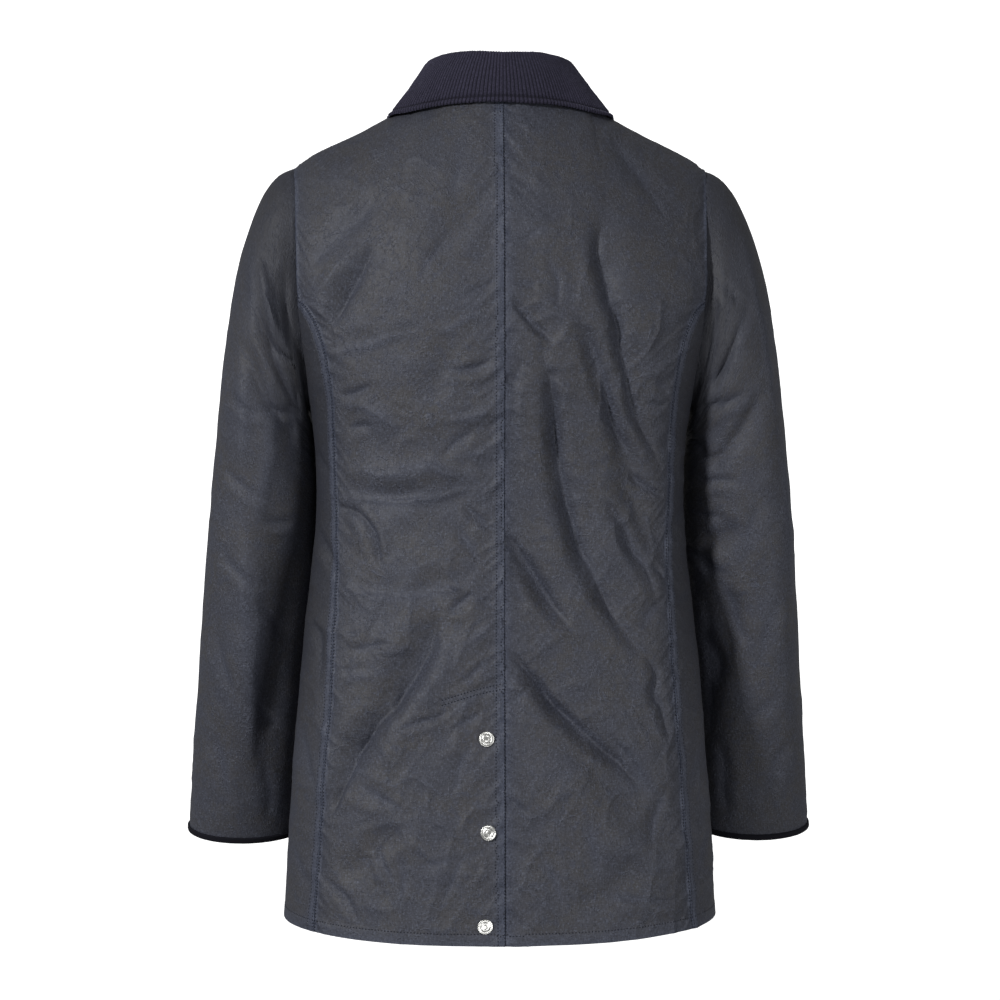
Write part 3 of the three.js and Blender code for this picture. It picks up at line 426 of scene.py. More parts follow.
def curve(rows, key):
    """A smooth curve through every other column of a table, by the column named key."""
    keys = np.array([row[key] for row in rows], float)
    columns = {name: np.array([row[name] for row in rows], float) for name in rows[0] if name != key}

    def at(value):
        value = np.asarray(value, float)
        k = np.clip(np.searchsorted(keys, value) - 1, 0, len(keys) - 2)
        before = np.maximum(k - 1, 0)
        after = np.minimum(k + 2, len(keys) - 1)
        span = keys[k + 1] - keys[k]
        t = np.clip((value - keys[k]) / span, 0, 1)
        found = {}
        for name, column in columns.items():
            a, b = column[k], column[k + 1]
            slope_a = span * (b - column[before]) / (keys[k + 1] - keys[before])
            slope_b = span * (column[after] - a) / (keys[after] - keys[k])
            square = -3 * (a - b) - 2 * slope_a - slope_b
            cube = 2 * (a - b) + slope_a + slope_b
            found[name] = a + t * slope_a + t**2 * square + t**3 * cube
        return found

    return at


body_section = curve(BODY, "z")
side_back_seam = curve(SIDE_BACK_SEAM, "z")
sleeve_section = curve(SLEEVE, "along")
collar_section = curve(COLLAR, "turn")
armhole_dip = curve(ARMHOLE_DIP, "turn")


def lattice_noise(x, z, lattice):
    ix, iz = np.floor(x).astype(int), np.floor(z).astype(int)
    tx, tz = x - ix, z - iz
    tx, tz = tx**3 * (tx * (tx * 6 - 15) + 10), tz**3 * (tz * (tz * 6 - 15) + 10)
    a, b = lattice[ix % 64, iz % 64], lattice[(ix + 1) % 64, iz % 64]
    c, d = lattice[ix % 64, (iz + 1) % 64], lattice[(ix + 1) % 64, (iz + 1) % 64]
    return mix(mix(a, b, tx), mix(c, d, tx), tz)


def noise(x, z, scale, seed):
    """Smooth noise from -1 to 1, with lumps about scale wide, from two turned lattices."""
    random = np.random.default_rng(seed)
    total = 0
    for turn in (0.6 + random.random(), 2.4 + random.random()):
        cos, sin = math.cos(turn), math.sin(turn)
        fx = (cos * np.asarray(x) - sin * np.asarray(z)) / scale + 1000
        fz = (sin * np.asarray(x) + cos * np.asarray(z)) / scale + 1000
        total = total + lattice_noise(fx, fz, random.random((64, 64)) * 2 - 1)
    return total * 0.72


def crest(x, z, scale, seed):
    """A net of crisp crests, from 0 to 1, such as waxed cloth keeps once it has been crushed."""
    return (1 - np.abs(noise(x, z, scale, seed))) ** 3


def stirred(x, z, reach, scale, seed):
    """Flat points pushed about by noise, so that what is drawn on them wanders."""
    return x + reach * noise(x, z, scale, seed), z + reach * noise(x, z, scale, seed + 1)


def crumple(x, z, seed):
    """Height of the small crush marks all over the cloth."""
    wx, wz = stirred(x, z, 16, 70, seed + 1)
    rough = 0.45 + 0.55 * ease(noise(x, z, 120, seed + 3) + 0.5)
    large = 1.0 * (crest(wx, wz, 62, seed + 4) - 0.4)
    middle = 0.8 * (crest(wx, wz, 30, seed + 5) - 0.4)
    small = 0.32 * (crest(wx, wz, 15, seed + 6) - 0.4)
    return (large + middle + small) * rough


def crumple_crests(x, z, seed):
    """Where the crush marks' own crests are, for the cloth's colour."""
    wx, wz = stirred(x, z, 16, 70, seed + 1)
    lines = np.maximum(crest(wx, wz, 30, seed + 5) ** 4, 0.7 * crest(wx, wz, 14, seed + 6) ** 4)
    return lines * ease(noise(x, z, 90, seed + 7) + 0.6)


def curved_path(ends):
    """A smooth line through three or more points. With three, the middle one only draws it that way."""
    ends = np.array(ends, float)
    if len(ends) == 3:
        s = np.linspace(0, 1, FOLD_STEPS + 1)[:, None]
        return (1 - s) ** 2 * ends[0] + 2 * s * (1 - s) * ends[1] + s * s * ends[2]
    at = curve([{"k": k, "x": x, "z": z} for k, (x, z) in enumerate(ends)], "k")
    found = at(np.linspace(0, len(ends) - 1, 2 * FOLD_STEPS + 1))
    return np.stack([found["x"], found["z"]], 1)


def fold_heights(x, z, ends, width, depth, ridge=None):
    """Height of one fold at flat points, and how near they are to its line, from 0 to 1.

    Without a ridge the fold is a soft trough. With one it is a crease, which has a gentle side, above it
    or on its wearer's left, and a short steep side.
    """
    height = np.zeros(x.shape)
    near = np.zeros(x.shape)
    path = curved_path(ends)
    reach = (4 if ridge is None else 6) * width
    (low_x, low_z), (high_x, high_z) = path.min(0) - reach, path.max(0) + reach
    close = (x > low_x) & (x < high_x) & (z > low_z) & (z < high_z)
    px, pz = x[close], z[close]
    if not px.size:
        return height, near
    nearest = np.full(px.shape, np.inf)
    along = np.zeros(px.shape)
    signed = np.zeros(px.shape)
    count = len(path) - 1
    for k in range(count):
        (last_x, last_z), (next_x, next_z) = path[k], path[k + 1]
        dx, dz = next_x - last_x, next_z - last_z
        length = math.hypot(dx, dz)
        t = np.clip(((px - last_x) * dx + (pz - last_z) * dz) / length**2, 0, 1)
        gap = np.hypot(px - last_x - t * dx, pz - last_z - t * dz)
        across = (dx * (pz - last_z) - dz * (px - last_x)) / length
        nearer = gap < nearest
        nearest = np.where(nearer, gap, nearest)
        along = np.where(nearer, (k + t) / count, along)
        signed = np.where(nearer, np.sign(across) * gap, signed)
    fade = 1 - np.abs(2 * along - 1) ** 3
    trough = np.exp(-((nearest / width) ** 2))
    if ridge is None:
        height[close] = depth * trough * fade
    else:
        first, last = path[0], path[-1]
        turned = 1 if first[1] - last[1] > last[0] - first[0] else -1
        s = signed * turned / (width * (0.55 + 0.45 * fade))
        gentle, steep = np.maximum(s, 0), np.maximum(-s, 0)
        crisp = 1.35 if depth < 0 else 1.0
        hollow = np.where(s > 0, np.exp(-(gentle**crisp)), np.exp(-((steep / 0.5) ** crisp)))
        above, below = np.exp(-(((gentle - 2) / 1.1) ** 2)), 0.3 * np.exp(-(((steep - 1.3) / 0.8) ** 2))
        pushed = np.where(s > 0, above, below)
        height[close] = (depth * hollow + ridge * pushed) * fade
    near[close] = trough * fade
    return height, near


def folded(x, z, rows):
    """Total height of the folds in a table, and how near the points are to any of them."""
    total = np.zeros(x.shape)
    worn = np.zeros(x.shape)
    for row in rows:
        ends = [(row[k + "x"], row[k + "z"]) for k in "abcde" if k + "x" in row]
        strength = 1
        if "ridge" in row:
            strength = CREASE_STRENGTH["long" if "ex" in row else "small"]
        height, near = fold_heights(x, z, ends, row["width"], row["depth"], row.get("ridge"))
        total += height * strength
        worn = np.maximum(worn, near)
    return total, worn


# The body.
def top_edge(face, u):
    """The neckline and then the shoulder seam, by the share u of a half panel's top edge."""
    turn = np.minimum(u / NECK_SHARE, 1) * math.pi / 2
    reach, drop = (NECK["back"], NECK["back_drop"]) if face > 0 else (-NECK["front"], NECK["front_drop"])
    t = np.clip((u - NECK_SHARE) / (1 - NECK_SHARE), 0, 1)
    curved = SHOULDER_CURVE["bulge"] * np.sin(math.pi * t**3) - SHOULDER_CURVE["sag"] * np.sin(math.pi * t)
    on_neck = u < NECK_SHARE
    x = np.where(on_neck, NECK["half"] * np.sin(turn), mix(NECK["half"], SHOULDER["x"], t))
    y = np.where(on_neck, NECK["y"] + reach * np.cos(turn), mix(NECK["y"], SHOULDER["y"], t))
    z = np.where(on_neck, -drop * np.cos(turn), SHOULDER["z"] * t + curved)
    return x, y, z


def plain_body(side, face, u, v):
    """The body with no folds: u from the centre line to the side seam or armhole, v from the hem up."""
    u, v = np.broadcast_arrays(np.asarray(u, float), np.asarray(v, float))
    yoke = np.maximum(v - 1, 0)
    top_x, top_y, top_z = top_edge(face, u)
    roll = mix(ROLL["neckline"], ROLL["shoulder"], ease(u / NECK_SHARE)) * DEGREE
    rise = yoke * roll
    hem = mix(HEM["back"] if face > 0 else HEM["front"], HEM["side"], ease(u))
    z = np.where(v <= 1, mix(hem, ARMPIT_Z, v), mix(ARMPIT_Z, top_z, np.sin(rise) / np.sin(roll)))
    section = body_section(z)
    opened = ARMHOLE["back" if face > 0 else "front"] * np.sqrt(np.maximum(1 - (1 - yoke) ** 4, 0))
    turn = (90 - u * (90 - opened)) * DEGREE
    power = 2 / section["square"]
    wide = section["half"] * np.maximum(np.cos(turn), 0) ** power
    deep = face * section["back" if face > 0 else "front"] * np.maximum(np.sin(turn), 0) ** power
    flat = np.cos(roll) ** SHOULDER_ROUND
    closing = (np.maximum(np.cos(rise), 0) ** SHOULDER_ROUND - flat) / (1 - flat)
    x = np.where(v <= 1, wide, mix(wide, top_x, yoke**2))
    y = np.where(v <= 1, deep, mix(top_y, deep, closing))
    return np.stack([side * x, y, z], -1)


def fold_fade(u, v):
    """How far folds reach towards a panel's side and top edges, from 0 to 1."""
    return (1 - np.clip(u, 0, 1) ** 10) * (1 - np.maximum(v - 1, 0) ** 8)


def body(side, face, u, v):
    """The body's outer face with its largest folds, and the outward direction there."""
    u, v = np.broadcast_arrays(np.asarray(u, float), np.asarray(v, float))

    def plain(s, t):
        return plain_body(side, face, s, t)

    step = 1e-3
    across = plain(np.minimum(u + step, 1), v) - plain(np.maximum(u - step, 0), v)
    up = plain(u, np.minimum(v + step, 2)) - plain(u, np.maximum(v - step, 0))
    direction = unit(np.cross(across, up) * -side * face)
    point = plain(u, v)
    height, _ = folded(point[..., 0], point[..., 2], those(LARGE_FOLDS, face=face))
    return point + direction * (height * fold_fade(u, v))[..., None], direction


def halving(low, high, is_below, shape):
    """The value at which is_below turns false, found by halving."""
    low, high = np.full(shape, float(low)), np.full(shape, float(high))
    for _ in range(34):
        middle = (low + high) / 2
        below = is_below(middle)
        low, high = np.where(below, middle, low), np.where(below, high, middle)
    return (low + high) / 2


def width_share(side, face, v, x):
    """The share u at which rows v of the body are x away from the centre line."""
    v, x = np.broadcast_arrays(np.asarray(v, float), np.asarray(x, float))
    return halving(0, 1, lambda u: np.abs(plain_body(side, face, u, v)[..., 0]) < x, v.shape)


def body_shares(face, x, z):
    """The side, u and v of the body's points at x, z. All of them are on one side."""
    x, z = np.broadcast_arrays(np.asarray(x, float), np.asarray(z, float))
    side = 1 if x.mean() >= 0 else -1
    u, v = np.full(x.shape, 0.3), np.full(x.shape, 1.0)
    for _ in range(24):
        v = halving(0, 2, lambda w: plain_body(side, face, u, w)[..., 2] < z, x.shape)
        u = width_share(side, face, v, np.abs(x))
    return side, u, v


def seam_share(side, v):
    """Where the side-back seam crosses rows v."""
    z = plain_body(side, 1, np.full(np.shape(v), 0.8), v)[..., 2]
    share = np.minimum(width_share(side, 1, v, side_back_seam(z)["x"]), 1 - SIDE_PANEL_TIP)
    return np.where(z > SIDE_PANEL_TOP_Z, 1.0, share)


# Grids of points, and meshes from them.
def grid_normals(points, sign, wrapped=False):
    """Outward directions on a grid of rows and columns."""
    if wrapped:
        across = np.roll(points, -1, 1) - np.roll(points, 1, 1)
    else:
        across = np.gradient(points, axis=1)
    up = np.gradient(points, axis=0)
    return unit(np.cross(across, up)) * sign


def lengths_across(points):
    """Distance along each row from its first point."""
    steps = np.linalg.norm(np.diff(points, axis=1), axis=-1)
    return np.concatenate([np.zeros((len(points), 1)), np.cumsum(steps, 1)], 1)


def lengths_up(points):
    """Distance along each column from its first point."""
    return lengths_across(points.swapaxes(0, 1)).T


def mesh_object(name, points, faces, material, sharp=55):
    """An object from points in millimetres and a list of arrays of faces."""
    mesh = bpy.data.meshes.new(name)
    mesh.vertices.add(len(points))
    mesh.vertices.foreach_set("co", (np.asarray(points, float) * MM).ravel())
    corners = np.concatenate([f.ravel() for f in faces]).astype(np.int32)
    sizes = np.concatenate([np.full(len(f), f.shape[1]) for f in faces])
    starts = np.concatenate([[0], np.cumsum(sizes)[:-1]]).astype(np.int32)
    mesh.loops.add(len(corners))
    mesh.loops.foreach_set("vertex_index", corners)
    mesh.polygons.add(len(sizes))
    mesh.polygons.foreach_set("loop_start", starts)
    mesh.update(calc_edges=True)
    mesh.polygons.foreach_set("use_smooth", np.ones(len(sizes), bool))
    mesh.set_sharp_from_angle(angle=sharp * DEGREE)
    mesh.validate()
    mesh.materials.append(material)
    made = bpy.data.objects.new(name, mesh)
    bpy.context.scene.collection.objects.link(made)
    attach(made, "root")
    return made


def shell(name, outer, normals, material, values, thickness=SHELL, wrapped=False, flip=False, coords=None):
    """A thin closed shell whose inner face has half as many rows and columns as its outer face.

    values are named numbers at its points, and coords are where its points lie on the flat cloth.
    """
    inner = (outer - normals * thickness)[::2, ::2]
    ids = np.arange(outer[..., 0].size).reshape(outer.shape[:2])
    inner_ids = ids.size + np.arange(inner[..., 0].size).reshape(inner.shape[:2])
    if wrapped:
        ids, inner_ids = [np.concatenate([grid, grid[:, :1]], 1) for grid in (ids, inner_ids)]

    def quads(grid):
        return np.stack([grid[:-1, :-1], grid[:-1, 1:], grid[1:, 1:], grid[1:, :-1]], -1).reshape(-1, 4)

    def rim(line, inner_line, turned):
        a, b, c, p, q = line[:-1:2], line[1::2], line[2::2], inner_line[:-1], inner_line[1:]
        fan = np.concatenate([np.stack(corners, -1) for corners in ((a, p, b), (b, p, q), (b, q, c))])
        return fan[:, ::-1] if turned else fan

    rims = [rim(ids[0], inner_ids[0], False), rim(ids[-1], inner_ids[-1], True)]
    if not wrapped:
        rims += [rim(ids[:, 0], inner_ids[:, 0], True), rim(ids[:, -1], inner_ids[:, -1], False)]
    faces = [quads(ids), quads(inner_ids)[:, [0, 3, 2, 1]], np.concatenate(rims)]
    if flip:
        faces = [f[:, ::-1] for f in faces]
    points = np.concatenate([outer.reshape(-1, 3), inner.reshape(-1, 3)])
    piece = mesh_object(name, points, faces, material)
    for key, value in values.items():
        layer = piece.data.attributes.new(key, "FLOAT", "POINT")
        both = np.concatenate([value.ravel(), value[::2, ::2].ravel()])
        layer.data.foreach_set("value", both.astype(np.float32))
    if coords is not None:
        flat = np.concatenate([coords.reshape(-1, 2), coords[::2, ::2].reshape(-1, 2)])
        layer = piece.data.attributes.new("cloth", "FLOAT_VECTOR", "POINT")
        layer.data.foreach_set("vector", np.pad(flat, ((0, 0), (0, 1))).astype(np.float32).ravel())
    return piece


def felled(height, pale, distance, rise):
    """Adds a felled seam's raised band, its two lines of stitches and its paler colour."""
    soft = 0.9
    height = height + rise * ease((FELL + soft - distance) / soft)
    height = height + (groove(distance, FELL_STITCH) + groove(distance, FELL - FELL_STITCH))
    return height, np.maximum(pale, ease((FELL - distance) / 1.2))


def groove(distance, at, depth=0.4, width=0.8):
    """The line that a row of stitches pulls into the cloth."""
    return -depth * np.exp(-(((distance - at) / width) ** 2))


def pucker(distance, along, seed, height=0.55, reach=13):
    """Small uneven gathers across a seam, that die away from it."""
    slant = along + distance * (0.75 + 0.5 * noise(along, distance * 0, 60, seed + 2))
    fine = 1.9 * (crest(slant, distance * 0.3, 10, seed) - 0.45)
    coarse = noise(slant, distance * 0.25, 17, seed + 1)
    return height * (0.8 * fine + 0.8 * coarse) * np.exp(-distance / reach) * ease(distance / 3)


# Materials.
class Nodes:
    """A short way to write a material's node tree."""

    def __init__(self, name):
        self.material = bpy.data.materials.new(name)
        self.material.use_nodes = True
        self.tree = self.material.node_tree
        self.shader = self.tree.nodes["Principled BSDF"]

    def add(self, kind, **settings):
        node = self.tree.nodes.new("ShaderNode" + kind)
        for key, value in settings.items():
            setattr(node, key, value)
        return node

    def link(self, source, target):
        self.tree.links.new(source, target)

    def attribute(self, name, output="Fac"):
        return self.add("Attribute", attribute_name=name).outputs[output]

    def maths(self, operation, *values):
        node = self.add("Math", operation=operation)
        for value, socket in zip(values, node.inputs):
            if isinstance(value, (int, float)):
                socket.default_value = value
            else:
                self.link(value, socket)
        return node.outputs[0]

    def times(self, a, b):
        return self.maths("MULTIPLY", a, b)

    def stretched(self, vector, scale):
        node = self.add("Mapping")
        node.inputs["Scale"].default_value = scale
        self.link(vector, node.inputs["Vector"])
        return node.outputs[0]

    def noise(self, vector, scale, detail=3.0, roughness=0.55):
        node = self.add("TexNoise")
        node.inputs["Scale"].default_value = scale
        node.inputs["Detail"].default_value = detail
        node.inputs["Roughness"].default_value = roughness
        self.link(vector, node.inputs["Vector"])
        return node.outputs["Fac"]

    def ramp(self, factor, low, high):
        node = self.add("MapRange", interpolation_type="SMOOTHSTEP")
        node.inputs["From Min"].default_value = low
        node.inputs["From Max"].default_value = high
        self.link(factor, node.inputs["Value"])
        return node.outputs["Result"]

    def mix(self, factor, a, b):
        node = self.add("Mix", data_type="RGBA")
        self.link(factor, node.inputs["Factor"])
        for name, value in (("A", a), ("B", b)):
            socket = [s for s in node.inputs if s.name == name and s.type == "RGBA"][0]
            if isinstance(value, tuple):
                socket.default_value = (*value, 1)
            else:
                self.link(value, socket)
        return [s for s in node.outputs if s.type == "RGBA"][0]

    def bump(self, height, strength, distance, before=None):
        node = self.add("Bump")
        node.inputs["Strength"].default_value = strength
        node.inputs["Distance"].default_value = distance
        self.link(height, node.inputs["Height"])
        if before is not None:
            self.link(before, node.inputs["Normal"])
        return node.outputs["Normal"]


WAX_GREY = (0.0410, 0.0395, 0.0430)
WAX_BLUE = (0.0300, 0.0365, 0.0620)
# The dark colour is both that of smeared wax and grain and that of the painted shade.
WAX_DARK_AND_SHADE = (0.0150, 0.0160, 0.0220)
WAX_PALE = (0.0760, 0.0850, 0.1160)
WAX_BAND = (0.0540, 0.0660, 0.1040)
PILE = (0.0200, 0.0186, 0.0312)
# Thin worn lines, where the wax has cracked: their pattern's scale, their width and how pale they are.
WAX_CRACKS = ((0.021, 0.010, 0.34), (0.05, 0.015, 0.3), (0.12, 0.03, 0.3))
WAX_ROUGHNESS = (0.56, 0.70)


def waxed_cotton(name):
    """Dry wax over navy cotton: grey where the wax lies, bluer where it is rubbed, pale on worn crests, and
    darkened by painted shade under the arms.
    """
    t = Nodes(name)
    cloth = t.attribute("cloth", "Vector")
    worn = t.attribute("worn")
    blotches = t.times(t.ramp(t.noise(cloth, 0.022, 5, 0.65), 0.38, 0.62), 0.5)
    flecks = t.times(t.ramp(t.noise(cloth, 0.1, 4, 0.66), 0.48, 0.62), 0.5)
    base = t.mix(t.maths("MAXIMUM", t.maths("MAXIMUM", blotches, flecks), worn), WAX_GREY, WAX_BLUE)
    smears = t.ramp(t.noise(t.stretched(cloth, (1, 0.5, 1)), 0.07, 6, 0.72), 0.5, 0.75)
    base = t.mix(t.times(smears, 0.35), base, WAX_DARK_AND_SHADE)
    wrinkles = None
    for scale, width, amount in WAX_CRACKS:
        field = t.noise(cloth, scale, 4, 0.5)
        off = t.maths("ABSOLUTE", t.maths("SUBTRACT", field, 0.5))
        line = t.maths("SUBTRACT", 1.0, t.ramp(off, 0.0, width))
        patch = t.ramp(t.noise(cloth, scale * 0.8, 2, 0.5), 0.45, 0.6)
        line = t.times(line, patch)
        wrinkles = line if wrinkles is None else t.maths("MAXIMUM", wrinkles, line)
        base = t.mix(t.times(line, amount), base, WAX_PALE)
    base = t.mix(t.times(t.attribute("crease"), 0.16), base, WAX_PALE)
    base = t.mix(t.times(worn, 0.1), base, WAX_PALE)
    base = t.mix(t.times(t.attribute("pale"), 0.3), base, WAX_BAND)
    # The grain of the weave: threads across and threads down.
    grain = t.noise(t.stretched(cloth, (0.55, 1.1, 1)), 0.62, 2, 0.7)
    down = t.noise(t.stretched(cloth, (1.2, 0.4, 1)), 0.62, 2, 0.7)
    grain = t.maths("ADD", t.times(grain, 0.5), t.times(down, 0.5))
    base = t.mix(t.times(t.ramp(grain, 0.5, 0.66), 0.8), base, WAX_PALE)
    base = t.mix(t.times(t.ramp(grain, 0.5, 0.34), 0.8), base, WAX_DARK_AND_SHADE)
    # Painted shade: the deep value darkens the cloth under the arms and beside the armholes.
    base = t.mix(t.times(t.attribute("deep"), 0.8), base, WAX_DARK_AND_SHADE)
    t.link(base, t.shader.inputs["Base Color"])
    rough = t.add("MapRange")
    rough.inputs["To Min"].default_value, rough.inputs["To Max"].default_value = WAX_ROUGHNESS
    t.link(t.noise(cloth, 0.035, 4, 0.6), rough.inputs["Value"])
    t.link(rough.outputs["Result"], t.shader.inputs["Roughness"])
    t.shader.inputs["Specular IOR Level"].default_value = 0.42
    weave = t.noise(t.stretched(cloth, (1.0, 0.6, 1)), 0.7, 2, 0.6)
    lumps = t.noise(cloth, 0.13, 5, 0.66)
    first = t.bump(wrinkles, 0.45, 0.0009, t.bump(lumps, 0.25, 0.0016))
    t.link(t.bump(weave, 0.6, 0.0006, first), t.shader.inputs["Normal"])
    return t.material


def plain_material(name, color, roughness, metallic=0.0, specular=0.4):
    t = Nodes(name)
    t.shader.inputs["Base Color"].default_value = (*color, 1)
    t.shader.inputs["Roughness"].default_value = roughness
    t.shader.inputs["Metallic"].default_value = metallic
    t.shader.inputs["Specular IOR Level"].default_value = specular
    return t.material


def corduroy():
    t = Nodes("corduroy")
    where = t.add("TexCoord").outputs["Object"]
    fuzz = t.noise(where, 900, 3, 0.6)
    pile = t.mix(t.ramp(fuzz, 0.35, 0.7), PILE, tuple(2.0 * c for c in PILE))
    groove_shade = t.ramp(t.attribute("wale"), 0.75, 0.2)
    base = t.mix(t.times(groove_shade, 0.85), pile, tuple(0.3 * c for c in PILE))
    t.link(base, t.shader.inputs["Base Color"])
    t.shader.inputs["Roughness"].default_value = 0.9
    t.shader.inputs["Specular IOR Level"].default_value = 0.12
    t.shader.inputs["Sheen Weight"].default_value = 0.35
    t.shader.inputs["Sheen Roughness"].default_value = 0.4
    t.shader.inputs["Sheen Tint"].default_value = (0.5, 0.5, 0.68, 1)
    t.link(t.bump(fuzz, 0.5, 0.0006), t.shader.inputs["Normal"])
    return t.material


WAXED = waxed_cotton("waxed_cotton")
CORDUROY = corduroy()
BINDING = plain_material("binding", (0.007, 0.007, 0.011), 0.85, specular=0.15)
THREAD = plain_material("thread", (0.010, 0.012, 0.022), 0.7)
NICKEL = plain_material("stud_nickel", (0.55, 0.55, 0.53), 0.34, metallic=1.0)

PANELS = {}


class Panel:
    """A fine grid of a cloth panel, for what is sewn on it."""

    def __init__(self, points, normals, u=None, v=None):
        self.points, self.normals, self.u, self.v = points, normals, u, v

    def column_at(self, distance):
        """The line that runs up the panel at a distance from its first column."""
        return self._line(lengths_across(self.points), distance, 1)

    def row_at(self, distance):
        """The line that runs across the panel at a distance up from its first row."""
        return self._line(lengths_up(self.points), distance, 0)

    def _line(self, lengths, distance, axis):
        best = np.abs(lengths - distance).argmin(axis)
        index = np.arange(len(best))
        pick = (index, best) if axis == 1 else (best, index)
        return self.points[pick], self.normals[pick]

    def place(self, u, v):
        """Points and outward directions at shares u and v of the body."""
        row = np.interp(v, self.v[:, 0], np.arange(len(self.v)))
        i = np.clip(row.astype(int), 0, len(self.v) - 2)
        s = (row - i)[:, None]
        found = []
        for grid in (self.points, self.normals):
            ends = []
            for k in (i, i + 1):
                span = self.u[k]
                share = (u - span[:, 0]) / (span[:, -1] - span[:, 0])
                column = np.clip(share, 0, 1) * (span.shape[1] - 1)
                j = np.clip(column.astype(int), 0, span.shape[1] - 2)
                t = (column - j)[:, None]
                ends.append(mix(grid[k, j], grid[k, j + 1], t))
            found.append(mix(ends[0], ends[1], s))
        return found[0], unit(found[1])


def even(count):
    return 2 * max(int(round(count * FINE / 2)), 1)


# Panels of the body.
def body_rows(step):
    skirt = np.linspace(0, 1, even(SKIRT_LENGTH / step) + 1)
    yoke = np.linspace(1, 2 - SEAM_GAP / YOKE_RISE, even(YOKE_LENGTH / step) + 1)
    return np.concatenate([skirt, yoke[1:]])


def seam_height(kind, side, points, from_first, from_last):
    """Bands, lines of stitches and gathers of a panel, and how worn and how pale it is."""
    along = points[..., 2]
    from_hem = lengths_up(points)
    height = 0.35 * ease((HEM_BAND + 0.6 - from_hem) / 1.2)
    height += groove(from_hem, HEM_BAND - 1) + pucker(from_hem, points[..., 0], 71 + side, 0.35, 9)
    worn = np.exp(-from_hem / 9) * 0.7
    pale = 0.5 * ease((HEM_BAND - from_hem) / 1.5)
    near_first, near_last = np.abs(from_first), np.abs(from_last)
    if kind == "side" or kind == "back" and side > 0:
        height, pale = felled(height, pale, from_first, FELL_RISE[kind])
    if kind == "back":
        height += pucker(near_first, along, 11 + side, 2.1, 16)
        height += pucker(near_last, along, 15 + side, 1.3, 14)
        height += groove(near_last, 2.4, 0.2, 0.9)
        worn = np.maximum(worn, np.exp(-near_first / 13) * 0.9)
        worn = np.maximum(worn, np.exp(-near_last / 12) * 0.9)
        pale = np.maximum(pale, 0.8 * ease((4.5 - near_last) / 2))
    elif kind == "side":
        height += pucker(near_first, along, 19 + side, 0.9, 13)
        worn = np.maximum(worn, np.exp(-near_first / 12) * 0.9)
    else:
        height += pucker(near_last, along, 23 + side, 0.4, 12)
    return height, worn, pale


def vent_bar_drop(x):
    """How far the slanting bar at the vent's top has dropped at x from the centre line."""
    return VENT_BAR["drop"] * (x / VENT_BAR["long"]) ** VENT_BAR["bend"]


def tucked(points, to_edge, to_other, u, v):
    """The grids of a panel with more columns past its last edge, straight on from it."""
    extra = TUCK["step"] * np.arange(1, TUCK["columns"] + 1)
    along = unit(points[:, -1] - points[:, -2])
    more = points[:, -1:] + along[:, None] * extra[:, None]
    wider = ((0, 0), (0, TUCK["columns"]))
    return [
        np.concatenate([points, more], 1),
        np.concatenate([to_edge, np.repeat(-extra[None], len(points), 0)], 1),
        np.concatenate([to_other, to_other[:, -1:] + extra], 1),
        np.pad(u, wider, mode="edge"),
        np.pad(v, wider, mode="edge"),
    ]


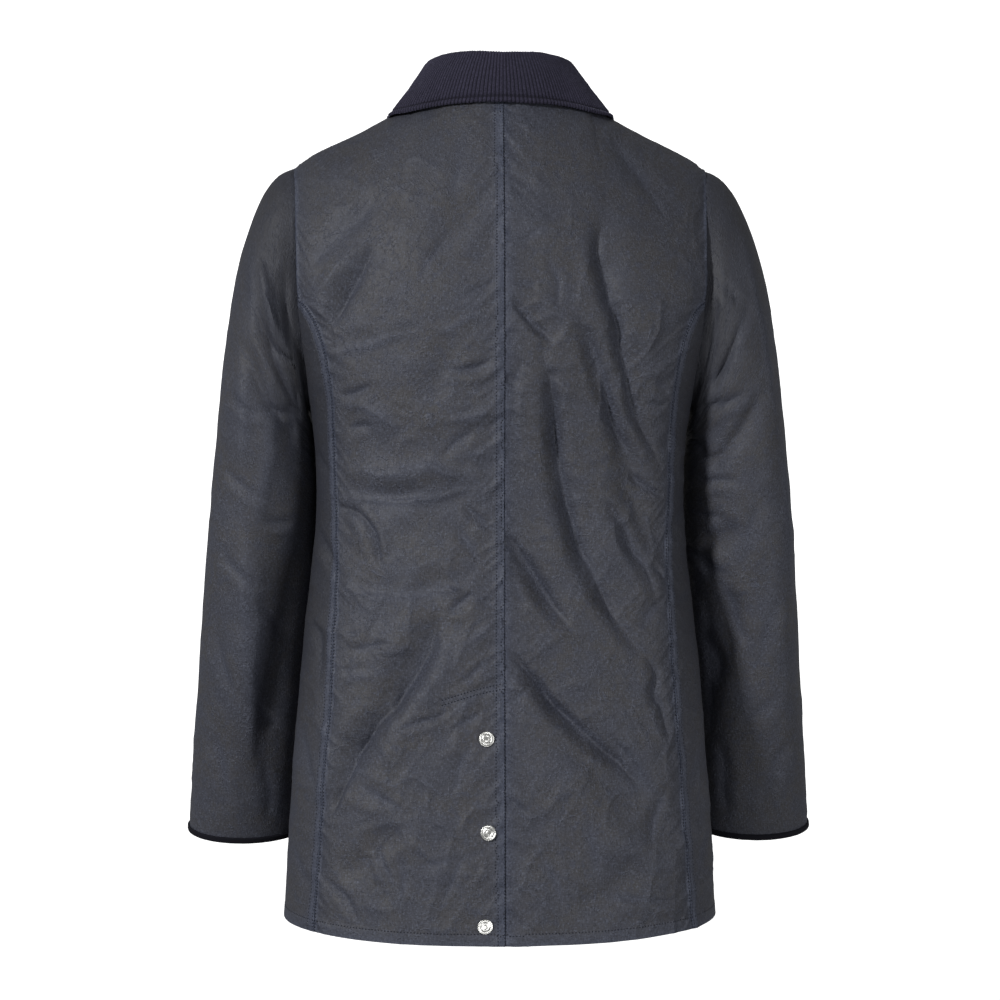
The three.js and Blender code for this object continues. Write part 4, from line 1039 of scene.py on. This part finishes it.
def body_panel(name, kind, side, first, last, v, flat, area):
    """One panel of the body, from its share first of a half's width to its share last, in rows v."""
    face = -1 if kind == "front" else 1
    ends = plain_body(side, face, np.stack([first, last], 1), v[:, None])
    chord = np.maximum(np.linalg.norm(ends[:, 1] - ends[:, 0], axis=1), 1)
    inset = SEAM_GAP / 2 * (last - first) / chord
    shares = np.linspace(0, 1, 41)[None]
    line = plain_body(side, face, mix(first[:, None], last[:, None], shares), v[:, None])
    columns = even(lengths_across(line)[:, -1].max() / STEP[kind])
    u = mix((first + inset)[:, None], (last - inset)[:, None], np.linspace(0, 1, columns + 1)[None])
    grid_v = np.repeat(v[:, None], columns + 1, 1)
    plain = plain_body(side, face, u, grid_v)
    from_first = lengths_across(plain)
    from_last = from_first[:, -1:] - from_first
    tuck_first, tuck_last = kind == "back" and side < 0, kind != "side"
    if tuck_last:
        plain, from_last, from_first, u, grid_v = tucked(plain, from_last, from_first, u, grid_v)
    if tuck_first:
        mirrored = tucked(*[grid[:, ::-1] for grid in (plain, from_first, from_last, u, grid_v)])
        plain, from_first, from_last, u, grid_v = [grid[:, ::-1] for grid in mirrored]
    direction = grid_normals(plain, -side * face)
    x, z = plain[..., 0], plain[..., 2]
    large, _ = folded(x, z, those(LARGE_FOLDS, face=face))
    fine, creased = folded(*stirred(x, z, 2.5, 22, 3), those(LONG_CREASES + CREASES, face=face))
    fine *= 0.85 + 0.35 * noise(x, z, 28, 8)
    seams, worn, pale = seam_height(kind, side, plain, from_first, from_last)
    if kind == "back" and side > 0:
        below_bar = VENT["top_z"] - vent_bar_drop(np.clip(x, 0, VENT_BAR["long"])) - z
        on_bar = ease((VENT_BAR["long"] + 2 - x) / 3)
        off_bar = np.abs(below_bar - VENT_BAR["wide"] / 2)
        seams += (groove(below_bar, 0, 0.5, 1.0) + groove(below_bar, VENT_BAR["wide"], 0.5, 1.0)) * on_bar
        seams += pucker(off_bar, x, 131, 0.8, 10) * on_bar
        pale = np.maximum(pale, 0.8 * ease((VENT_BAR["wide"] - off_bar) / 2) * on_bar)
    # Above the side panel the last edge is the armhole's, which lies over the sleeve.
    over = ease((z - SIDE_PANEL_TOP_Z + 30) / 14) if kind == "back" else ease((z - ARMPIT_Z) / 14)
    if tuck_last:
        seams -= (0.15 * ease((1.2 - from_last) / 1.2) + 0.7 * ease(-from_last / 1.3)) * (1 - over)
        seams -= 1.6 * ease(-from_last / 2.6) * over
        seams += over * (0.7 * np.exp(-(((from_last - 1.6) / 1.5) ** 2)))
    if tuck_first:
        seams -= 0.35 * ease((1.0 - from_first) / 1.0) + 0.5 * ease(-from_first / 1.3)
    height = (large + fine + CRUMPLE["body"] * crumple(x, z, SEED[kind])) * fold_fade(u, grid_v) + seams
    outer = plain + direction * height[..., None]
    normals = grid_normals(outer, -side * face)
    coords = np.stack([lengths_across(plain) * side + 500 * face * side, z], -1)
    # Painted shade, kept in deep: darker on the side panels (most near the armpits), beside the side seams
    # under the arms, and towards the shoulders, where the sleeves and the shoulders keep the light off. Pale
    # seam bands take less of it.
    if kind == "side":
        deep = 0.62 * ease((z + 640) / 160) + 0.16
    else:
        deep = 0.5 * np.exp(-from_last / 14) * (1 - over)
    deep = (deep + 0.34 * ease((z + 230) / 150) * ease((side * x + 40) / 160)) * (1 - 0.9 * pale)
    crests = crumple_crests(x, z, SEED[kind])
    values = {"worn": np.maximum(worn, 0.6 * creased), "pale": pale, "deep": deep, "crease": crests}
    piece = shell(name + "_cloth", outer, normals, WAXED, values, flip=side * face > 0, coords=coords)
    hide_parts(name)
    PANELS[name] = Panel(outer, normals, u, grid_v)


def make_body():
    rows, front_rows = body_rows(STEP["back"]), body_rows(STEP["front"])
    whole = np.zeros(len(front_rows)), np.ones(len(front_rows))
    for side, hand in HANDS:
        seam = seam_share(side, rows)
        body_panel(f"back_{hand}", "back", side, np.zeros(len(rows)), seam, rows, (0.205, 0.80), 0.143)
        below = rows[seam < 1]
        below = below[: (len(below) - 1) // 2 * 2 + 1]
        seam, edge = seam_share(side, below), np.ones(len(below))
        body_panel(f"side_{hand}", "side", side, seam, edge, below, (0.1, 0.61), 0.04)
        body_panel(f"front_{hand}", "front", side, *whole, front_rows, (0.29, 0.79), 0.18)


# Sleeves.
def plain_sleeve(side, turn, along):
    s = sleeve_section(along)
    cos, sin = np.cos(turn * DEGREE), np.sin(turn * DEGREE)
    tilt = LEAN * ease(along / SLEEVE_LENGTH) * DEGREE
    out = 0 if side > 0 else mix(RIGHT_ARM_OUT["shoulder"], RIGHT_ARM_OUT["cuff"], along / SLEEVE_LENGTH)
    x = mix(s["in_x"], s["out_x"], (1 + cos) / 2) + out
    z = mix(s["in_z"], s["out_z"], (1 + cos) / 2)
    y = s["y"] + s["depth"] * sin * np.cos(tilt) - s["ahead"] * (1 - cos) / 2
    return np.stack([side * x, y, z - s["depth"] * sin * np.sin(tilt)], -1)


def armhole_offset(side, turn):
    """How far the armhole's edge lies from the plain sleeve's first ring."""
    roll = ROLL["shoulder"] * DEGREE
    height = (1 + np.cos(turn * DEGREE)) / 2
    v = 1 + np.arcsin(np.clip(height * math.sin(roll), 0, 1)) / roll
    back = plain_body(side, 1, np.ones(turn.shape), v)
    front = plain_body(side, -1, np.ones(turn.shape), v)
    edge = np.where((turn <= 180)[..., None], back, front)
    return edge - plain_sleeve(side, turn, np.zeros(turn.shape))


def sleeve_surface(side, turn, along):
    """The sleeve's outer face with its folds, how near it is to a crease, and its distance round."""
    plain = plain_sleeve(side, turn, along)
    plain = plain + armhole_offset(side, turn) * (1 - ease(along / ARMHOLE_BLEND))[..., None]
    s = sleeve_section(along)
    total = np.zeros(turn.shape)
    creased = np.zeros(turn.shape)
    for row in those(SLEEVE_FOLDS, side=side):
        scale = math.pi / 180 * sleeve_section((row["a_along"] + row["c_along"]) / 2)["depth"]
        a, b, c = [(row[k + "_turn"] * scale, row[k + "_along"]) for k in "abc"]
        total += fold_heights(turn * scale, along, (a, b, c), row["width"], row["depth"])[0]
    around = np.where(turn > 180, turn - 360, turn)
    flat = around / 180 * math.pi * SLEEVE_RADIUS
    x = side * plain[..., 0] + 2.5 * noise(flat, along, 26, 5)
    z = plain[..., 2] + 2.5 * noise(flat, along, 26, 6)
    for face in (1, -1):
        height, near = folded(x, z, those(SLEEVE_CREASES, side=side, face=face))
        here = ease(1 + face * np.sin(turn * DEGREE) * 4)
        total += CREASE_STRENGTH["sleeve"] * height * here
        creased = np.maximum(creased, near * here)
    under = ease((180 - np.abs(around)) / 22)
    total += CRUMPLE["sleeve"] * crumple(flat + 300, along, SEED["sleeve"] + side) * under
    # The sleeve is pushed against the side below the armpit.
    pushed = 2.7 * np.exp(-(((turn - 180) / 60) ** 2)) * np.exp(-(((along - 95) / 80) ** 2))
    middle = np.stack([side * (s["out_x"] + s["in_x"]) / 2, s["y"], (s["out_z"] + s["in_z"]) / 2], -1)
    out = unit(plain - middle)
    held = ease(along / 36) * (1 - 0.7 * ease((along - SLEEVE_LENGTH + 30) / 30))
    dip = armhole_dip(turn)["left" if side > 0 else "right"] * np.exp(-((along / 24) ** 2))
    plain[..., 0] -= side * pushed
    return plain + out * (total * held - dip)[..., None], creased * held, flat


def make_sleeve(side, hand):
    """The sleeve, with two rings of turning that go in under the body's edge."""
    columns, rows = even(SLEEVE_GIRTH / STEP["round_sleeve"]), even(SLEEVE_LENGTH / STEP["down_sleeve"])
    turn = np.arange(columns) * 360 / columns
    along = np.linspace(0, SLEEVE_LENGTH, rows + 1)
    grid_turn, grid_along = np.meshgrid(turn, along)
    outer, creased, flat = sleeve_surface(side, grid_turn, grid_along)
    inward = unit(outer[0].mean(0) - outer[0])
    hidden = [outer[0] + inward * (1.8 + 0.5 * k) - np.array([side * 1.8 * k, 0, 0]) for k in (2, 1)]
    outer = np.concatenate([hidden, outer])
    grid_along = np.concatenate([grid_along[:1] - 4, grid_along[:1] - 2, grid_along])
    flat, creased, grid_turn = [np.concatenate([grid[:2], grid]) for grid in (flat, creased, grid_turn)]
    normals = grid_normals(outer, side, wrapped=True)
    from_cuff = SLEEVE_LENGTH - grid_along
    height = 0.3 * ease((CUFF_BAND - from_cuff) / 2) + groove(grid_along, 2.5, 0.5, 1.0)
    height += pucker(grid_along, flat, 33 + side, 0.6, 14) * ease(grid_along / 3)
    outer = outer + normals * height[..., None]
    normals = grid_normals(outer, side, wrapped=True)
    worn = np.maximum(0.6 * creased, np.maximum(np.exp(-grid_along / 12), np.exp(-from_cuff / 10)) * 0.7)
    # Painted shade, kept in deep: darker near the armhole and along the inner side that lies against the
    # body.
    deep = 0.8 * np.exp(-((np.maximum(grid_along, 0) / 130) ** 2))
    deep += 0.5 * np.exp(-(((grid_turn - 172) / 30) ** 2))
    crests = crumple_crests(flat + 300, grid_along, SEED["sleeve"] + side)
    values = {"worn": worn, "deep": deep, "crease": crests}
    coords = np.stack([flat + 2000 * side, -grid_along], -1)
    name = f"sleeve_{hand}"
    piece = shell(name + "_cloth", outer, normals, WAXED, values, wrapped=True, flip=side < 0, coords=coords)
    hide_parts(name)
    PANELS[name] = Panel(outer, normals)


def make_binding(side, hand):
    """The binding is a folded strip that wraps the cuff's edge."""
    height, cover, below, inside = CUFF_BINDING.values()
    profile = (
        (0.4, height),
        (0.7, height + 0.3),
        (0.4 + cover * 0.8, height - 0.2),
        (0.4 + cover, height - 1.2),
        (0.4 + cover * 1.1, height * 0.4),
        (0.4 + cover, 0),
        (0.4 + cover * 0.5, -below * 0.8),
        (-inside / 2, -below - 0.3),
        (-inside - cover * 0.5, -below * 0.8),
        (-inside - cover, 0),
        (-inside - cover, height - 1),
        (-inside - 0.3, height),
        (-inside, height - 0.5),
        (-inside, -0.4),
        (0.4, -0.4),
    )
    sleeve = PANELS[f"sleeve_{hand}"]
    edge, direction = sleeve.points[-1], sleeve.normals[-1]
    upward = unit(sleeve.points[-3] - edge)
    count, corners = len(edge), len(profile)
    wobble = 0.15 * noise(np.arange(count) * 2.0, np.zeros(count), 5, 7 + side)
    rings = [edge + direction * (out + wobble[:, None]) + upward * up for out, up in profile]
    points = np.stack(rings, 1).reshape(-1, 3)
    i, k = np.meshgrid(np.arange(count), np.arange(corners), indexing="ij")
    here, ahead, after = i * corners, (i + 1) % count * corners, (k + 1) % corners
    quads = np.stack([here + k, ahead + k, ahead + after, here + after], -1).reshape(-1, 4)
    name = f"cuff_binding_{hand}"
    piece = mesh_object(name + "_cloth", points, [quads if side > 0 else quads[:, ::-1]], BINDING, 40)
    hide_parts(name)


# Strips on the body.
def strip(name, face, heights, x_from, x_to, lift):
    """A strip of waxed cotton that follows the body, lift above its face."""
    across = np.linspace(x_from, x_to, even(24) + 1)
    points = np.zeros((len(heights), len(across), 3))
    normals = np.zeros_like(points)
    for chosen in (np.where(across >= 0)[0], np.where(across < 0)[0]):
        side, u, v = body_shares(face, *np.meshgrid(across[chosen], heights))
        points[:, chosen], normals[:, chosen] = body(side, face, u, v)
    outer = points + normals * lift
    across = np.repeat(across[None], len(heights), 0)
    edge = np.minimum(across - x_from, x_to - across)
    from_end = lengths_up(points)
    shape = groove(edge, 5, 0.3) + CRUMPLE["strip"] * crumple(across, from_end, SEED["strip"])
    outer = outer + normals * shape[..., None]
    normals = grid_normals(outer, -face)
    coords = np.stack([across + 900, from_end], -1)
    values = {"worn": np.exp(-edge / 7) * 0.7, "crease": np.zeros(edge.shape)}
    piece = shell(name + "_cloth", outer, normals, WAXED, values, flip=face > 0, coords=coords)
    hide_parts(name)
    PANELS[name] = Panel(outer, normals)


def make_strips():
    foot, top = HEM["back"] + VENT["hem_rise"], VENT["top_z"]
    heights = np.linspace(foot, top, even(230 / STEP["strip"]) + 1)
    lift = -2 - VENT["clear"] + 0.6
    strip("vent_underlap", 1, heights, -VENT["sewn"], VENT["lap"], lift)
    foot, top = HEM["front"] + FLY["hem_rise"], -NECK["front_drop"] - FLY["top_inset"]
    heights = np.linspace(foot, top, even(680 / STEP["strip"]) + 1)
    lift = 0.4 + FLY["thickness"]
    strip("front_fly", -1, heights, -FLY["half"], FLY["half"], lift)


# Collar.
def neckline(turn):
    share = np.abs(turn)
    sign = np.where(turn < 0, -1.0, 1.0)
    u = np.where(share < 90, share, 180 - share) / 90 * NECK_SHARE
    u = np.minimum(u, NECK_SHARE - 1e-9)
    back, front = top_edge(1, u), top_edge(-1, u)
    x, y, z = [np.where(share < 90, b, f) for b, f in zip(back, front)]
    return np.stack([sign * x, y, z], -1)


def away_from_neck(point):
    flat = point - np.array([0, NECK["y"], 0])
    flat[..., 2] = 0
    return unit(flat)


def fold_crest(turn):
    s = collar_section(np.abs(turn))
    return np.stack([np.sign(turn) * s["fold_x"], s["fold_y"], s["fold_z"]], -1)


def collar_edge(turn):
    s = collar_section(np.abs(turn))
    edge = np.zeros((len(turn), 3))
    for sign in (1, -1):
        for face in (1, -1):
            chosen = ((turn >= 0) == (sign > 0)) & ((np.abs(turn) < 88) == (face > 0))
            x = sign * s["edge_x"][chosen] + sign * 1e-6
            side, u, v = body_shares(face, x, s["edge_z"][chosen])
            point, direction = body(side, face, u, v)
            edge[chosen] = point + direction * (2 + COLLAR_CLEAR)
    return edge


def straight_on(values, count):
    """A row of numbers with count more at each end, straight on from it."""
    ramp = np.linspace(0, 1, count + 1)[:-1]
    before = values[0] + (values[0] - values[count]) * (1 - ramp)
    after = values[-1] + (values[-1] - values[-count - 1]) * ramp
    return np.concatenate([before, values, after])


def facing_back(normals, row):
    """Directions with the sign that turns the middle of a row backwards."""
    return normals if normals[row, normals.shape[1] // 2] @ np.array([0, 1, 0.3]) > 0 else -normals


def make_collar_fall():
    columns = WALES * RIB_COLUMNS
    turn = np.linspace(-COLLAR_END, COLLAR_END, columns + 1)
    crest_line, edge = fold_crest(turn), collar_edge(turn)
    reach = 20
    smooth = np.ones(2 * reach + 1) / (2 * reach + 1)
    for k in range(3):
        edge[:, k] = np.convolve(straight_on(edge[:, k], reach), smooth, "valid")
    out = away_from_neck(crest_line)
    up = np.array([0, 0, 1.0])
    rows = []
    for angle in np.linspace(-90, 40, 9):
        a = angle * DEGREE
        rows.append(crest_line + out * FOLD_ROLL * math.sin(a) + up * FOLD_ROLL * (math.cos(a) - 1))
    start = rows[-1]
    slope = edge - start
    steep = np.hypot(slope[:, 0], slope[:, 1])
    crown = unit(out * np.abs(slope[:, 2:3]) + up * steep[:, None])
    crown_height = COLLAR_CROWN - 3.6 * np.exp(-(((np.abs(turn) - 85) / 36) ** 2))
    for t in np.linspace(0, 1, 32)[1:]:
        rows.append(start + slope * t + crown * crown_height[:, None] * math.sin(math.pi * t))
    # The edge turns under, over a filled-out roll.
    under = unit(slope)
    for angle in (45, 90):
        a, roll = angle * DEGREE, COLLAR_CLOTH["edge_roll"]
        rows.append(edge + under * roll * math.sin(a) - crown * roll * (1 - math.cos(a)))
    if len(rows) % 2 == 0:
        rows.insert(1, (rows[0] + rows[1]) / 2)
    plain = np.stack(rows, 0)
    normals = facing_back(grid_normals(plain, -1), 20)
    lengths = lengths_up(plain)
    from_edge = lengths[-1:] - lengths
    wale = np.abs(np.sin(np.linspace(0, WALES * math.pi, columns + 1)))[None] ** 0.8 + 0 * lengths
    rubbed = 0.75 + 0.25 * noise(turn[None] * 1.6, lengths, 5, 51)
    height = COLLAR_CLOTH["rib"] * wale * rubbed * ease(lengths / 4 + 0.3)
    sewn = np.exp(-(((from_edge - 5.5) / 1.2) ** 2))
    height = height * (1 - 0.6 * sewn) - 0.9 * sewn + 0.6 * np.exp(-(((from_edge - 2.4) / 2) ** 2))
    height += 0.6 * noise(turn[None] * 1.2, lengths, 30, 52)
    outer = plain + normals * height[..., None]
    facing = facing_back(grid_normals(outer, 1), 20)
    values = {"wale": wale * (1 - 0.75 * sewn)}
    piece = shell("collar_fall_cloth", outer, facing, CORDUROY, values, COLLAR_CLOTH["fall"], flip=True)
    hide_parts("collar_fall")


def make_collar_stand():
    turn = np.linspace(-COLLAR_END, COLLAR_END, even(240) + 1)
    foot, top = neckline(turn), fold_crest(turn)
    foot[:, 2] += 1
    top = top + away_from_neck(top) * (-FOLD_ROLL + 2)
    top[:, 2] -= FOLD_ROLL + 0.8 + SEAM_GAP
    share = np.linspace(0, 1, 11)[:, None, None]
    stand = mix(foot[None], top[None], share)
    direction = facing_back(grid_normals(stand, 1), 5)
    values = {"wale": np.full(stand.shape[:2], 0.6)}
    piece = shell("collar_stand_cloth", stand, direction, CORDUROY, values, COLLAR_CLOTH["stand"])
    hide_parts("collar_stand")


# Stitches.
def resampled(points, normals, pitch):
    """Points at even distances along a line, with the outward and the forward direction at each."""
    steps = np.linalg.norm(np.diff(points, axis=0), axis=1)
    lengths = np.concatenate([[0], np.cumsum(steps)])
    marks = np.arange(pitch / 2, lengths[-1], pitch)

    def at(where, values):
        return np.stack([np.interp(where, lengths, values[:, k]) for k in range(3)], 1)

    return at(marks, points), unit(at(marks, normals)), unit(at(marks + 1, points) - at(marks - 1, points))


def stitches(name, lines):
    """One joined mesh of small sewn stitches along lines of (points, normals)."""
    pattern = np.array([
        (0, 2, 1), (0, 3, 2), (1, 2, 5), (1, 5, 4), (2, 3, 6), (2, 6, 5),
        (4, 5, 7), (5, 6, 7), (0, 1, 3), (1, 4, 3), (3, 4, 6), (4, 7, 6),
    ])  # fmt: skip
    half, wide, high = STITCH["length"] / 2, STITCH["width"] / 2, STITCH["height"]
    all_points, all_faces = [], []
    count = 0
    for points, normals in lines:
        at, facing, ahead = resampled(points, normals, STITCH["length"] + STITCH["gap"])
        across = unit(np.cross(ahead, facing)) * wide
        at = at + facing * STITCH["lift"]
        corners = [at - ahead * half]
        for middle in (at - ahead * half * 0.4, at + ahead * half * 0.4):
            corners += [middle + across, middle + facing * high, middle - across]
        corners.append(at + ahead * half)
        start = count + np.arange(len(at))[:, None, None] * len(corners)
        all_faces.append((start + pattern).reshape(-1, 3))
        all_points.append(np.stack(corners, 1).reshape(-1, 3))
        count += len(corners) * len(at)
    piece = mesh_object(name, np.concatenate(all_points), [np.concatenate(all_faces)], THREAD, 180)


def make_stitches():
    lines = []
    for side, hand in HANDS:
        back, flank = PANELS[f"back_{hand}"], PANELS[f"side_{hand}"]
        for panel in (back, flank) if side > 0 else (flank,):
            lines += [panel.column_at(1.4), panel.column_at(FELL - FELL_STITCH)]
        lines.append((back.points[: len(flank.points), -4], back.normals[: len(flank.points), -4]))
        for panel in (back, flank, PANELS[f"front_{hand}"]):
            lines.append(panel.row_at(HEM_BAND - 1))
    # The bar that holds the top of the vent.
    x = np.linspace(0.5, VENT_BAR["long"], 60)
    for down in (0, VENT_BAR["wide"]):
        _, u, v = body_shares(1, x, VENT["top_z"] - down - vent_bar_drop(x))
        lines.append(PANELS["back_left"].place(u, v))
    stitches("stitches_body", lines)
    lines = []
    for _, hand in HANDS:
        sleeve = PANELS[f"sleeve_{hand}"]
        rows, columns = sleeve.points.shape[:2]
        closed = np.arange(columns + 1) % columns
        row = int(round(CUFF_STITCH / SLEEVE_LENGTH * (rows - 1)))
        lines.append((sleeve.points[-row][closed], sleeve.normals[-row][closed]))
    stitches("stitches_sleeves", lines)


# Studs.
def stud_mesh(name, at, facing, number):
    """A cap with a domed middle, a ring and small plain pips round it."""
    radius, rim, dome = STUD["radius"], STUD["rim"], STUD["dome"]
    profile = (
        (radius - 0.4, 0.0),
        (radius - 0.05, 0.25),
        (radius, 0.6),
        (radius - 0.2, 0.95),
        (radius - 0.6, rim),
        (radius - 1.0, rim * 0.98),
        (radius - 1.25, rim * 0.8),
        (radius * 0.72, rim * 0.92),
        (radius * 0.6, rim * 0.95),
        (radius * 0.56, rim * 1.2),
        (radius * 0.5, rim * 1.34),
        (radius * 0.44, rim * 1.3),
        (radius * 0.4, rim * 1.15),
        (radius * 0.3, dome * 0.56),
        (radius * 0.15, dome * 0.62),
    )
    turns = 48
    k = np.arange(turns)
    after = (k + 1) % turns
    angles = k * 2 * math.pi / turns
    rings = [np.stack([r * np.cos(angles), r * np.sin(angles), np.full(turns, z)], 1) for r, z in profile]
    points = [np.zeros((1, 3)), *rings, np.array([[0, 0, dome * 0.64]])]
    starts = 1 + np.arange(len(rings)) * turns
    quads = [np.stack([a + k, a + after, b + after, b + k], 1) for a, b in zip(starts, starts[1:])]
    last = starts[-1]
    fans = [
        np.stack([np.zeros(turns, int), 1 + after, 1 + k], 1),
        np.stack([last + k, last + after, np.full(turns, last + turns)], 1),
    ]
    count, sides = last + turns + 1, PIPS["sides"]
    j = np.arange(sides)
    for n in range(PIPS["count"]):
        a = (n + 0.5) * 2 * math.pi / PIPS["count"]
        out = radius * PIPS["ring"]
        middle = np.array([math.cos(a) * out, math.sin(a) * out, rim * 0.9])
        turn = j * 2 * math.pi / sides
        ring = middle + PIPS["radius"] * np.stack([np.cos(turn), np.sin(turn), 0 * turn], 1)
        points.append(np.array([*ring, middle + np.array([0, 0, PIPS["height"]])]))
        fans.append(np.stack([count + j, count + (j + 1) % sides, np.full(sides, count + sides)], 1))
        count += sides + 1
    turn = Vector((0, 0, 1)).rotation_difference(Vector(facing)).to_matrix()
    spin = Matrix.Rotation(number * 1.3, 3, "Z")
    points = np.concatenate(points) @ np.array(turn @ spin).T + np.asarray(at)
    piece = mesh_object(name + "_metal", points, [np.concatenate(fans), np.concatenate(quads)], NICKEL, 50)
    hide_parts(name)


def make_studs():
    sunk = 0.3
    for k, row in enumerate(VENT_STUDS):
        _, u, v = body_shares(1, np.array([row["x"]]), np.array([row["z"]]))
        point, facing = PANELS["back_left"].place(u, v)
        stud_mesh(f"vent_stud_{k + 1}", point[0] + facing[0] * sunk, facing[0], k)
    fly = PANELS["front_fly"]
    middle = fly.points.shape[1] // 2
    for k in range(FRONT_STUDS["count"]):
        z = mix(FRONT_STUDS["first"], FRONT_STUDS["last"], k / (FRONT_STUDS["count"] - 1))
        i = int(np.abs(fly.points[:, middle, 2] - z).argmin())
        facing = fly.normals[i, middle]
        stud_mesh(f"front_stud_{k + 1}", fly.points[i, middle] + facing * sunk, facing, k)


# Studio.
CAMERA = {"turn": 177.7, "distance": 2.0, "height": -0.38, "mm_per_pixel": 0.95, "sensor": 36}
# Each softbox: its name, place, size and watts. All of them face the jacket's middle.
LIGHTS = (
    ("softbox_left", (3.6, 3.7, 1.6), (0.7, 0.7), 240),
    ("softbox_right", (-2.3, 2.7, -0.9), (0.8, 1.6), 58),
    ("softbox_low", (0.2, 2.6, -1.9), (1.8, 0.8), 40),
)
WORLD_LIGHT = 0.26
FLOOR = {"z": -1.1, "near": 4.5, "far": -1.6, "bend": 1.2, "top": 5.0, "half": 6.0, "glow": 0.8}


def make_studio():
    scene = bpy.context.scene
    camera = bpy.data.objects.new("camera", bpy.data.cameras.new("camera"))
    scene.collection.objects.link(camera)
    a = CAMERA["turn"] * DEGREE
    away = Vector((math.sin(a), -math.cos(a), 0))
    camera.location = away * CAMERA["distance"] + Vector((0, 0, CAMERA["height"]))
    camera.rotation_mode = "QUATERNION"
    camera.rotation_quaternion = (-away).to_track_quat("-Z", "Y")
    camera.data.sensor_width = CAMERA["sensor"]
    camera.data.lens = CAMERA["sensor"] * CAMERA["distance"] / CAMERA["mm_per_pixel"]
    scene.camera = camera

    for name, at, size, watts in LIGHTS:
        light = bpy.data.lights.new(name, "AREA")
        light.shape = "RECTANGLE"
        light.size, light.size_y = size
        light.energy = watts
        made = bpy.data.objects.new(name, light)
        made.location = at
        made.rotation_mode = "QUATERNION"
        towards = Vector((0, 0, CAMERA["height"])) - Vector(at)
        made.rotation_quaternion = towards.to_track_quat("-Z", "Y")
        scene.collection.objects.link(made)

    world = bpy.data.worlds.new("studio")
    scene.world = world
    world.use_nodes = True
    ground = world.node_tree.nodes["Background"]
    ground.inputs["Color"].default_value = (1, 1, 1, 1)
    ground.inputs["Strength"].default_value = WORLD_LIGHT

    # A pale floor that sweeps up into the backdrop.
    floor_z, far, bend = FLOOR["z"], FLOOR["far"], FLOOR["bend"]
    turns = [k * math.pi / 24 for k in range(1, 13)]
    profile = [(FLOOR["near"], floor_z), (far, floor_z)]
    profile += [(far - bend * math.sin(a), floor_z + bend - bend * math.cos(a)) for a in turns]
    profile += [(far - bend, FLOOR["top"])]
    points = [(x, y, z) for y, z in profile for x in (-FLOOR["half"], FLOOR["half"])]
    faces = [(2 * k, 2 * k + 2, 2 * k + 3, 2 * k + 1) for k in range(len(profile) - 1)]
    t = Nodes("paper")
    t.shader.inputs["Base Color"].default_value = (0.9, 0.9, 0.9, 1)
    t.shader.inputs["Roughness"].default_value = 1.0
    t.shader.inputs["Emission Color"].default_value = (1, 1, 1, 1)
    t.shader.inputs["Emission Strength"].default_value = FLOOR["glow"]
    mesh = bpy.data.meshes.new("backdrop")
    mesh.from_pydata(points, [], faces)
    mesh.polygons.foreach_set("use_smooth", [True] * len(faces))
    mesh.materials.append(t.material)
    sweep = bpy.data.objects.new("backdrop", mesh)
    sweep.visible_diffuse = False
    sweep.visible_glossy = False
    scene.collection.objects.link(sweep)
    scene.view_settings.view_transform = "Standard"


make_collar_fall()
make_collar_stand()
make_body()
for one_side, one_hand in HANDS:
    make_sleeve(one_side, one_hand)
    make_binding(one_side, one_hand)
make_strips()
make_stitches()
make_studs()
make_studio()
